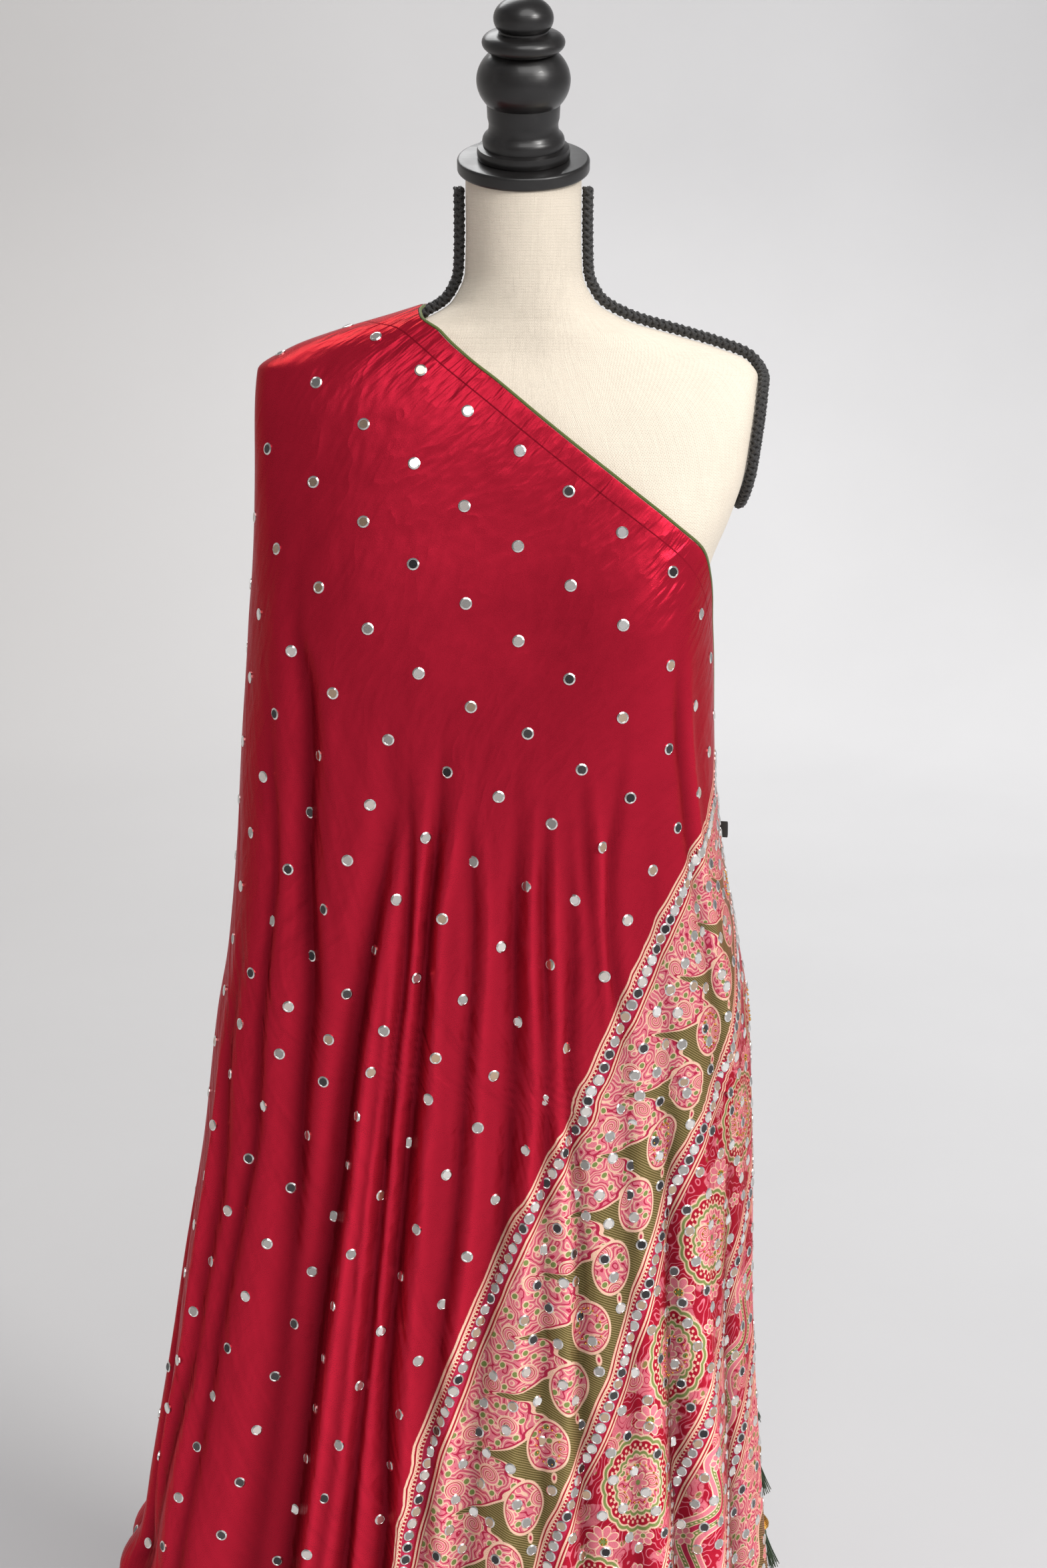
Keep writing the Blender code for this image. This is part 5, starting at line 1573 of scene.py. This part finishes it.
def bead_plan():
    """Flat places of the gold beads: rings on some of the small rounds and on the medallions."""
    plan = []
    for step in range(-1, 22):
        if step % 5 in (0, 2):
            plan += oval_spots(88.0, OVAL_START + REPEAT * step, 8.6, 15.4, TILT, 16)
    for step in range(-1, 11):
        here = MEDALLION_REPEAT * step
        plan += oval_spots(173.0, MEDALLION_START + here, 33.0 * 0.43, 39.0 * 0.43, TILT, 20)
        plan += oval_spots(160.0, 74.0 + here, 2.6, 2.6, 0.0, 5)
    return plan


def oval_spots(u, t, half_u, half_t, turn, count):
    """Flat places round a tilted oval."""
    spots = []
    for x, y in zip(*circle(count)):
        a, b = half_t * x, half_u * y
        spots.append(np.array([
            PRINT_REACH - (u + a * math.sin(turn) + b * math.cos(turn)) / 1000.0,
            (t + a * math.cos(turn) - b * math.sin(turn)) / 1000.0,
        ]))
    return spots


def along_path(path, step):
    """Points at even steps along a path, on a smooth curve through its points."""
    path = np.asarray(path, float)
    lengths = np.concatenate([[0.0], np.cumsum(np.linalg.norm(np.diff(path, axis=0), axis=1))])
    count = max(int(lengths[-1] / step), 2)
    spots = np.interp(np.linspace(0, lengths[-1], count), lengths, np.arange(len(path)))
    values = np.repeat(path[:, None, :], 2, axis=1)
    return catmull_read(values, spots, np.zeros_like(spots))


def directions(path):
    """Unit directions along a path."""
    along = np.gradient(path, axis=0)
    return along / np.linalg.norm(along, axis=1, keepdims=True)


def path_frames(path):
    """Two directions across a path that don't twist along it."""
    along = directions(path)
    side = np.cross(along[0], (0.31, 0.17, 0.93))
    firsts = []
    for heading in along:
        side = side - heading * (side @ heading)
        side = side / np.linalg.norm(side)
        firsts.append(side)
    firsts = np.array(firsts)
    return firsts, np.cross(along, firsts)


def ring_faces(index, turned=False):
    """Quads between rows of points that close on themselves; turned ones face the other way."""
    after = np.roll(index, -1, axis=1)
    corners = [index[:-1], after[:-1], after[1:], index[1:]]
    if turned:
        corners[1:] = corners[:0:-1]
    return np.stack(corners, -1).reshape(-1, 4).tolist()


def tube_parts(path, radius, sides):
    """Places and faces of a round tube with closed ends; its radius may change along it."""
    first, second = path_frames(path)
    cosines, sines = circle(sides)
    rings = path[:, None, :] + np.broadcast_to(radius, len(path))[:, None, None] * (
        first[:, None, :] * cosines[:, None] + second[:, None, :] * sines[:, None]
    )
    index = np.arange(len(path) * sides).reshape(len(path), sides)
    return rings.reshape(-1, 3), ring_faces(index) + [index[0, ::-1].tolist(), index[-1].tolist()]


def joined_tubes(name, tubes, finish):
    """Several tubes as one mesh."""
    places, faces = [], []
    for spots, sides in tubes:
        faces += [[corner + len(places) for corner in face] for face in sides]
        places += spots.tolist()
    return put_in_scene(name, places, faces, [finish])


def turned_mesh(name, profile, finish, sides, place=Matrix.Identity(4), sharp=38):
    """A smooth solid turned from (radius, height) points about its axis."""
    places, faces, rings = [], [], []
    for radius, height in profile:
        start = len(places)
        if radius < 1e-6:
            places.append((0.0, 0.0, height))
            rings.append([start] * sides)
        else:
            places += [(radius * x, radius * y, height) for x, y in zip(*circle(sides))]
            rings.append(list(range(start, start + sides)))
    for low, high in zip(rings, rings[1:]):
        for side in range(sides):
            after = (side + 1) % sides
            faces.append(list(dict.fromkeys((low[side], low[after], high[after], high[side]))))
    return put_in_scene(name, [tuple(place @ Vector(spot)) for spot in places], faces, [finish], sharp)


def solid_corners(name):
    """Places of the corners of one of the model's solids."""
    node = bpy.data.objects[name]
    return np.array([tuple(node.matrix_world @ corner.co) for corner in node.data.vertices])


def stands_for(piece, finish, *nodes):
    """Fix a piece to the form and hide the model's solids that it stands for; its finish is not used."""
    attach(piece, "root")
    if nodes:
        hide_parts(*nodes)


def arc(centre_radius, centre_height, radius, height, start, end, steps):
    """Profile points along an elliptic moulding."""
    turns = [math.radians(start + (end - start) * step / steps) for step in range(steps + 1)]
    return tuple(
        (centre_radius + radius * math.cos(turn), centre_height + height * math.sin(turn))
        for turn in turns
    )


# Radius of the flat floor, of the backdrop's bend and its height, and the bend's first angle
FLOOR_REACH = 4.4
BEND = 1.8
BACKDROP_TOP = 5.5
BEND_START = 0.1
FLOOR_SINK = -0.0008
# Name, place, power, width in degrees and colour of the lamps, which all shine towards the origin
LAMPS = (
    ("key", (2.0, -1.9, 1.5), 1.9, 16.0, (1.0, 0.985, 0.965)),
    ("front_fill", (0.8, -2.3, 2.3), 1.75, 50.0, (1.0, 0.99, 0.98)),
    ("side_fill", (-2.3, -1.7, 0.95), 0.12, 26.0, (1.0, 1.0, 1.0)),
    ("back_fill", (-0.9, 2.4, 2.4), 1.3, 36.0, (1.0, 1.0, 1.0)),
)
SKY_COLOUR = (0.95, 0.96, 0.98, 1.0)
SKY_POWER = 0.20
CAMERA_PLACE = (0.0, -1.6689, 1.4611)
CAMERA_TILT = 76.0


class SAREE_OT_stage(bpy.types.Operator):
    """Make the pale floor and backdrop, the soft lights and the camera"""

    bl_idname = "saree.stage"
    bl_label = "Stage"

    def execute(self, context):
        bend = [
            (FLOOR_REACH + BEND * math.sin(turn), BEND - BEND * math.cos(turn))
            for turn in np.linspace(BEND_START, math.pi / 2, 16)
        ]
        floor = [(reach, FLOOR_SINK) for reach in (0.0, FLOOR_REACH / 2, FLOOR_REACH)]
        wall = [(FLOOR_REACH + BEND, height) for height in (3.0, BACKDROP_TOP)]
        paper = turned_mesh("studio_paper", floor + bend + wall, stage_material(), 96, sharp=None)
        paper.visible_shadow = False
        scene = context.scene
        scene.view_settings.view_transform = "Standard"
        world = bpy.data.worlds.new("Studio")
        world.use_nodes = True
        sky = world.node_tree.nodes["Background"].inputs
        sky[0].default_value, sky[1].default_value = SKY_COLOUR, SKY_POWER
        scene.world = world
        for name, place, power, width, tint in LAMPS:
            lamp = bpy.data.lights.new(name, "SUN")
            lamp.energy, lamp.angle, lamp.color = power, math.radians(width), tint
            made = bpy.data.objects.new(name, lamp)
            made.location = place
            made.rotation_euler = (-Vector(place)).to_track_quat("-Z", "Y").to_euler()
            scene.collection.objects.link(made)
        lens = bpy.data.cameras.new("Camera")
        lens.lens, lens.sensor_width, lens.sensor_fit = 50.0, 36.0, "AUTO"
        camera = bpy.data.objects.new("Camera", lens)
        camera.location = CAMERA_PLACE
        camera.rotation_euler = (math.radians(CAMERA_TILT), 0.0, 0.0)
        scene.collection.objects.link(camera)
        scene.camera = camera
        return {"FINISHED"}


class SAREE_OT_drape(bpy.types.Operator):
    """Make the draped cloth, front with its printed end and back, as thin shells"""

    bl_idname = "saree.drape"
    bl_label = "Drape"

    def execute(self, context):
        printed, crimson = look("Printed satin"), look("Crimson satin")
        front = cloth_shell("saree_front_cloth", "front", [printed, crimson])
        stands_for(front, "printed_satin", "saree_front_stretch", "saree_pallu")
        back = cloth_shell("saree_back_cloth", "back", [crimson])
        stands_for(back, "crimson_satin", "saree_back_stretch")
        return {"FINISHED"}


class SAREE_OT_skirt(bpy.types.Operator):
    """Make the stretch wrapped round the waist, pleated at the front"""

    bl_idname = "saree.skirt"
    bl_label = "Wrapped skirt"

    def execute(self, context):
        skirt = cloth_shell("saree_skirt_cloth", "skirt", [look("Crimson satin")], closed=True)
        stands_for(skirt, "crimson_satin", "saree_skirt_wrap")
        return {"FINISHED"}


class SAREE_OT_mirrors(bpy.types.Operator):
    """Sew on the round mirrors and the small gold beads"""

    bl_idname = "saree.mirrors"
    bl_label = "Mirrors and beads"

    def execute(self, context):
        finishes = mirror_materials()
        plan = mirror_plan()
        for name, part, wanted in (
            ("mirrors_front", "front", [spot for spot in plan if spot[0] > PRINT_REACH]),
            ("mirrors_print", "front", [spot for spot in plan if spot[0] < PRINT_REACH]),
            ("mirrors_back", "back", [spot for spot in plan if spot[0] > BACK_MIRRORS]),
            ("mirrors_skirt", "skirt", skirt_plan()),
        ):
            spots = spots_on_cloth(part, wanted)
            if part == "skirt":
                spots = [spot for spot in spots if uncovered(spot[1])]
            stands_for(mirror_mesh(name, spots, finishes), "gold_wire")
        stands_for(bead_mesh("gold_beads", spots_on_cloth("front", bead_plan())), "gold_wire")
        return {"FINISHED"}


PIPING_RADIUS = 0.0012
PIPING_CLEAR = 0.0002
PIPING_STEP = 0.004
CLOTH_WALL = 0.0015
# A flat tape folded in two: half its width and length, and its outline round the fold
TAB_HALF = 0.00325
TAB_HALF_LENGTH = 0.0066
TAB_WAY = np.array([0.97, -0.24, 0.0])
TAB_CLEAR = 0.0004
TAB_OUTLINE = (
    (-TAB_HALF, 0.00052), (TAB_HALF - 0.0008, 0.00058), (TAB_HALF - 0.0002, 0.00036), (TAB_HALF, 0.0),
    (TAB_HALF - 0.0002, -0.00036), (TAB_HALF - 0.0008, -0.00058), (-TAB_HALF, -0.00052),
)


def edge_path(places, inside, clear):
    """Points beside a sheet's edge, this far outside it."""
    along = directions(places)
    away = places - inside
    normal = np.cross(along, away)
    normal /= np.linalg.norm(normal, axis=1, keepdims=True)
    outward = places * np.array([1.0, 1.0, 0.0]) + np.array([0.0, 0.0, 0.02])
    normal *= np.sign((normal * outward).sum(1))[:, None]
    aside = np.cross(along, normal)
    aside *= np.sign((aside * away).sum(1))[:, None]
    return places - normal * CLOTH_WALL / 2 + aside * clear


def folded_tab(name):
    """A plain tape folded in two, in the place of its solid and turned outward."""
    spots = solid_corners("edge_tab")
    centre = spots.mean(0)
    length, reach, _ = np.linalg.svd(spots - centre)[2]
    seam = centre - reach * np.sign(reach[1]) * TAB_HALF
    length = length - TAB_WAY * (length @ TAB_WAY)
    length /= np.linalg.norm(length)
    thick = np.cross(length, TAB_WAY)
    centre = seam + TAB_WAY * (TAB_HALF + TAB_CLEAR)
    path = []
    for (x, y), (p, q) in zip(TAB_OUTLINE, TAB_OUTLINE[1:]):
        path += [(x, y), ((x + p) / 2, (y + q) / 2)]
    path.append(TAB_OUTLINE[-1])
    places = []
    for row in np.linspace(-TAB_HALF_LENGTH, TAB_HALF_LENGTH, 14):
        pinch = 1.0 - 0.10 * (abs(row) / TAB_HALF_LENGTH) ** 6
        wave = 0.00005 * math.sin(row * 1500)
        places += [centre + TAB_WAY * x * pinch + thick * (y + wave) + length * row for x, y in path]
    index = np.arange(len(places)).reshape(-1, len(path))
    faces = ring_faces(index, True) + [index[0].tolist(), index[-1, ::-1].tolist()]
    return put_in_scene(name, places, faces, [look("Black tape")], 60)


class SAREE_OT_edge(bpy.types.Operator):
    """Make the moss piping on the upper selvedge and its plain folded tab"""

    bl_idname = "saree.edge"
    bl_label = "Edge trim"

    def execute(self, context):
        for part, edge, inside, end_z in (
            ("front", -1, -4, CORNER_Z - 0.004), ("back", 0, 3, BACK_PIPING_END_Z),
        ):
            places, _ = laid(part)
            keep = places[:, edge, 2] > end_z
            path = edge_path(places[keep, edge], places[keep, inside], PIPING_RADIUS + PIPING_CLEAR)
            cord = tube_parts(along_path(path, PIPING_STEP), PIPING_RADIUS, 10)
            made = joined_tubes("edge_piping_%s_cord" % part, [cord], look("Moss piping"))
            stands_for(made, "moss_piping", "edge_piping_" + part)
        stands_for(folded_tab("edge_tab_tape"), "black_tape", "edge_tab")
        return {"FINISHED"}


DROP_LENGTH = 0.018
DROP_SHARE = 0.93
# Share of a drop's length from its top, and its radius there
DROP_PROFILE = (
    (1.00, 0.0012), (0.94, 0.0040), (0.84, 0.0060), (0.70, 0.0066), (0.55, 0.0060), (0.35, 0.0044),
    (0.18, 0.0028), (0.00, 0.0013),
)
WIRE_RADIUS = 0.00062
WIRE_TURNS = 13
WIRE_STEPS = 12
# How far the tassels swing out in degrees: the ones in this range of numbers, and the others
SWING_RANGE = range(4, 10)
SWING_WIDE, SWING_NARROW = 11.0, 3.0
# Distance down from a bundle's top and radius of its bound head
HEAD = ((0.0, 0.0018), (0.0012, 0.0031), (0.0030, 0.0035), (0.0050, 0.0033), (0.0064, 0.0024))
THREAD_START = 0.0022
THREAD_RADIUS = 0.00042


class SAREE_OT_tassels(bpy.types.Operator):
    """Make the gold wire drops and their bundles of green threads"""

    bl_idname = "saree.tassels"
    bl_label = "Tassels"

    def execute(self, context):
        for number in range(1, 13):
            bead, thread = "tassel_bead_%02d" % number, "tassel_thread_%02d" % number
            spots = solid_corners(bead)
            centre = spots.mean(0)
            axis = solid_corners(thread).mean(0) - centre
            axis /= np.linalg.norm(axis)
            heights = (spots - centre) @ axis
            foot = spots[np.abs(heights - heights.max()) < 0.0006].mean(0)
            top = foot - axis * DROP_LENGTH
            outward = np.array([top[0], top[1], 0.0]) / math.hypot(top[0], top[1])
            swing = SWING_WIDE if number in SWING_RANGE else SWING_NARROW
            axis = axis + outward * math.tan(math.radians(swing))
            axis /= np.linalg.norm(axis)
            stands_for(wire_drop(bead + "_wire", top, axis), "gold_wire", bead)
            made = thread_bundle(thread + "_silk", top + axis * DROP_LENGTH, axis, number)
            stands_for(made, "green_thread", thread)
        return {"FINISHED"}


def wire_drop(name, top, axis):
    """A drop-shaped core wound with wire."""
    first, second = frame_about(axis)
    share = np.linspace(0, 1, 22)
    path = top + axis * DROP_LENGTH * share[:, None]
    core = tube_parts(path, read_rows(DROP_PROFILE, share) * DROP_SHARE, 14)
    spot = np.linspace(0.02, 0.985, WIRE_TURNS * WIRE_STEPS)
    size = read_rows(DROP_PROFILE, spot)
    way = np.arange(len(spot)) * 2 * math.pi / WIRE_STEPS
    coil = (top + axis * (DROP_LENGTH * spot)[:, None] + first * (size * np.cos(way))[:, None]
            + second * (size * np.sin(way))[:, None])
    return joined_tubes(name, [core, tube_parts(coil, WIRE_RADIUS, 6)], look("Gold wire"))


def thread_bundle(name, top, axis, number):
    """A small bound head and fine three-sided threads that fan out under their own weight."""
    first, second = frame_about(axis)
    down, radius = np.array(HEAD).T
    tubes = [tube_parts(top + axis * down[:, None], radius, 12)]
    count = sizes().tassel_threads
    fall = np.linspace(0, 1, 7)
    for thread in range(count):
        way = thread * GOLDEN_TURN + number
        out = math.sqrt((thread + 0.5) / count)
        length = 0.0350 + 0.0026 * scattered(thread + 97 * number, 8) - THREAD_START
        spread = 0.0026 * out + (0.0052 + 0.0020 * scattered(thread, 9)) * out * fall ** 1.3
        swing = 0.0007 * np.sin(fall * 5.0 + thread) * fall
        side = first * math.cos(way) + second * math.sin(way)
        cross = second * math.cos(way) - first * math.sin(way)
        path = top + axis * (THREAD_START + length * fall)[:, None]
        path = path + side * spread[:, None] + cross * swing[:, None]
        tubes.append(tube_parts(path, THREAD_RADIUS, 3))
    return joined_tubes(name, tubes, look("Green thread"))


ROPE_RIDGE_ROWS = (
    1.499, 1.480, 1.455, 1.443, 1.433, 1.424, 1.415, 1.408, 1.402, 1.397, 1.391, 1.386, 1.380, 1.375,
    1.370,
)
ARM_PLATE_Z = 1.317
ARM_PLATE_HALF_HEIGHT = 0.049
ARM_PLATE_HALF_DEPTH = 0.040
ROPE_CLEAR = 0.0048
ROPE_PITCH = 0.015
ROPE_STEP = 0.0014
ROPE_CORE = 0.0026
STRAND_RADIUS = 0.00135
STRAND_LIFT, STRAND_DIP = 0.0028, 0.0006


def rope_path(side):
    """Rope route on one side: neck, shoulder ridge, then round the arm plate."""
    ridge = np.interp(np.linspace(0, 14, 71), range(15), ROPE_RIDGE_ROWS)
    points = [off_form(side * 90.0, z) for z in ridge]
    for around in np.radians(np.linspace(12.86, 347.14, 90)):
        z = ARM_PLATE_Z + ARM_PLATE_HALF_HEIGHT * math.cos(around)
        y = -ARM_PLATE_HALF_DEPTH * math.sin(around)
        _, front, back, _, square = (float(read_rows(TORSO, z, column)) for column in range(1, 6))
        share = min(abs(y) / (front if y < 0 else back), 0.95)
        across = (1.0 - share ** square) ** (1.0 / square)
        turn = math.degrees(math.atan2(across, share if y < 0 else -share))
        points.append(off_form(side * turn, z))
    points = np.array(points)
    for _ in range(6):
        points[1:-1] = points[1:-1] * 0.5 + (points[:-2] + points[2:]) * 0.25
    return points


def off_form(angle, z):
    """A point above the form's surface along its normal."""
    angles = np.array([angle, angle + 1, angle - 1, angle, angle])
    heights = np.array([z, z, z, z + 0.0015, z - 0.0015])
    here, right, left, up, down = torso_point(angles, heights)
    normal = np.cross(right - left, up - down)
    return here + normal / np.linalg.norm(normal) * ROPE_CLEAR


def braided_rope(name, side):
    """A core with three strands laid each way."""
    path = along_path(rope_path(side), ROPE_STEP)
    first, second = path_frames(path)
    laps = np.arange(len(path)) * ROPE_STEP * 2 * math.pi / ROPE_PITCH
    tubes = [tube_parts(path, ROPE_CORE, 8)]
    for heading in (1, -1):
        lift = STRAND_LIFT + STRAND_DIP * heading * np.cos(3 * laps)
        for strand in range(3):
            way = heading * laps + strand * math.pi * 2 / 3
            spots = path + first * (lift * np.cos(way))[:, None] + second * (lift * np.sin(way))[:, None]
            tubes.append(tube_parts(spots, STRAND_RADIUS, 6))
    return joined_tubes(name, tubes, look("Black braid"))


def linen_form(name):
    """The padded form, closed at the neck and below the hips."""
    rows = np.concatenate([
        np.linspace(1.511, 1.425, 26, endpoint=False), np.linspace(1.425, 1.355, 44, endpoint=False),
        np.linspace(1.355, 0.766, 76, endpoint=False), [0.766, 0.762, 0.760],
    ])
    places = torso_point(*np.meshgrid(np.arange(132) * 360.0 / 132 - 180.0, rows))
    centre = places.mean(1)
    index = np.arange(places[..., 0].size).reshape(places.shape[:2])
    faces = ring_faces(index, True)
    for middle, row, way in ((index.size, index[0], 1), (index.size + 1, index[-1], -1)):
        faces += [(middle, *pair[::way]) for pair in zip(row.tolist(), np.roll(row, -1).tolist())]
    spots = np.concatenate([places.reshape(-1, 3), centre[[0, -1]]])
    return put_in_scene(name, spots, faces, [look("Cream linen")], 50)


class SAREE_OT_form(bpy.types.Operator):
    """Make the linen form and its braided rope trim"""

    bl_idname = "saree.form"
    bl_label = "Dress form"

    def execute(self, context):
        stands_for(linen_form("form_torso_linen"), "linen", "form_torso")
        for side, node in ((1, "form_rope_right"), (-1, "form_rope_left")):
            stands_for(braided_rope(node + "_braid", side), "rope", node)
        return {"FINISHED"}


# Radius and height of the turned pieces' outlines, from the axis below to the axis above
PLATE_OUTLINE = (
    (0.0, 0.0), (0.0465, 0.0), *arc(0.0463, 0.0022, 0.0022, 0.0022, -70, 0, 4),
    *arc(0.0463, 0.0078, 0.0022, 0.0022, 0, 90, 5), (0.0, 0.0100),
)
FINIAL_OUTLINE = (
    (0.0, 0.0), (0.0333, 0.0), (0.0338, 0.0010), (0.0340, 0.0035), (0.0338, 0.0060), (0.0333, 0.0075),
    (0.0295, 0.0085), (0.0300, 0.0125), (0.0296, 0.0145), (0.0285, 0.0165), (0.0262, 0.0185),
    (0.0254, 0.0210), (0.0252, 0.0240), (0.0255, 0.0265), (0.0262, 0.0290),
    *arc(0.0, 0.0555, 0.0338, 0.0270, -38, 52, 20), *arc(0.0205, 0.0820, 0.0092, 0.0066, -80, 80, 12),
    (0.0178, 0.0893), (0.0176, 0.0905), *arc(0.0, 0.0985, 0.0214, 0.0150, -25, 90, 18),
)
FINIAL_SEAT = 0.0103
BASE_OUTLINE = (
    (0.0, 0.0), (0.1640, 0.0), (0.1650, 0.0010), (0.1650, 0.0140),
    *arc(0.157, 0.014, 0.008, 0.008, 10, 90, 8), (0.0360, 0.0220), (0.0340, 0.0280), (0.0300, 0.0340),
    (0.0265, 0.0410), (0.0255, 0.0420), (0.0, 0.0420),
)
POLE_OUTLINE = (
    (0.0, 0.0423), (0.0148, 0.0423), (0.0150, 0.0430), (0.0150, 0.7590), (0.0148, 0.7597),
    (0.0, 0.7597),
)


class SAREE_OT_stand(bpy.types.Operator):
    """Make the neck plate, turned finial, pole and round base"""

    bl_idname = "saree.stand"
    bl_label = "Neck and stand"

    def execute(self, context):
        wood, steel = look("Black turned wood"), look("Brushed steel")
        neck = Matrix.Translation((0.0, NECK_LEAN, NECK_TOP_Z)) @ Matrix.Rotation(NECK_TILT, 4, "X")
        seat = neck @ Matrix.Translation((0.0, 0.0, FINIAL_SEAT))
        made = turned_mesh("form_neck_plate", PLATE_OUTLINE, wood, 96, neck)
        stands_for(made, "turned_wood", "form_neck_disc")
        made = turned_mesh("form_neck_knob", FINIAL_OUTLINE, wood, 72, seat, 32)
        stands_for(made, "turned_wood", "form_neck_finial")
        made = turned_mesh("stand_round_base", BASE_OUTLINE, wood, 96)
        stands_for(made, "turned_wood", "stand_base")
        made = turned_mesh("stand_round_pole", POLE_OUTLINE, steel, 48)
        stands_for(made, "pole_steel", "stand_pole")
        return {"FINISHED"}


STEPS = (
    SAREE_OT_stage, SAREE_OT_form, SAREE_OT_stand, SAREE_OT_drape, SAREE_OT_skirt, SAREE_OT_edge,
    SAREE_OT_mirrors, SAREE_OT_tassels,
)


class SAREE_PT_panel(bpy.types.Panel):
    """Lists the sizes, the colours and the pieces"""

    bl_label = "Draped saree"
    bl_idname = "SAREE_PT_panel"
    bl_space_type = "VIEW_3D"
    bl_region_type = "UI"
    bl_category = "Saree"

    def draw(self, context):
        for owner in (context.scene.saree_sizes, context.scene.saree_colours):
            for name in owner.__annotations__:
                self.layout.prop(owner, name)
        for step in STEPS:
            self.layout.operator(step.bl_idname)


CLASSES = (SareeSizes, SareeColours, *STEPS, SAREE_PT_panel)


def register():
    for kind in CLASSES:
        bpy.utils.register_class(kind)
    bpy.types.Scene.saree_sizes = bpy.props.PointerProperty(type=SareeSizes)
    bpy.types.Scene.saree_colours = bpy.props.PointerProperty(type=SareeColours)


def unregister():
    del bpy.types.Scene.saree_colours
    del bpy.types.Scene.saree_sizes
    for kind in reversed(CLASSES):
        bpy.utils.unregister_class(kind)


def main():
    """Make every piece in order."""
    register()
    bpy.ops.saree.stage()
    bpy.ops.saree.form()
    bpy.ops.saree.stand()
    bpy.ops.saree.drape()
    bpy.ops.saree.skirt()
    bpy.ops.saree.edge()
    bpy.ops.saree.mirrors()
    bpy.ops.saree.tassels()


if __name__ == "__main__":
    main()
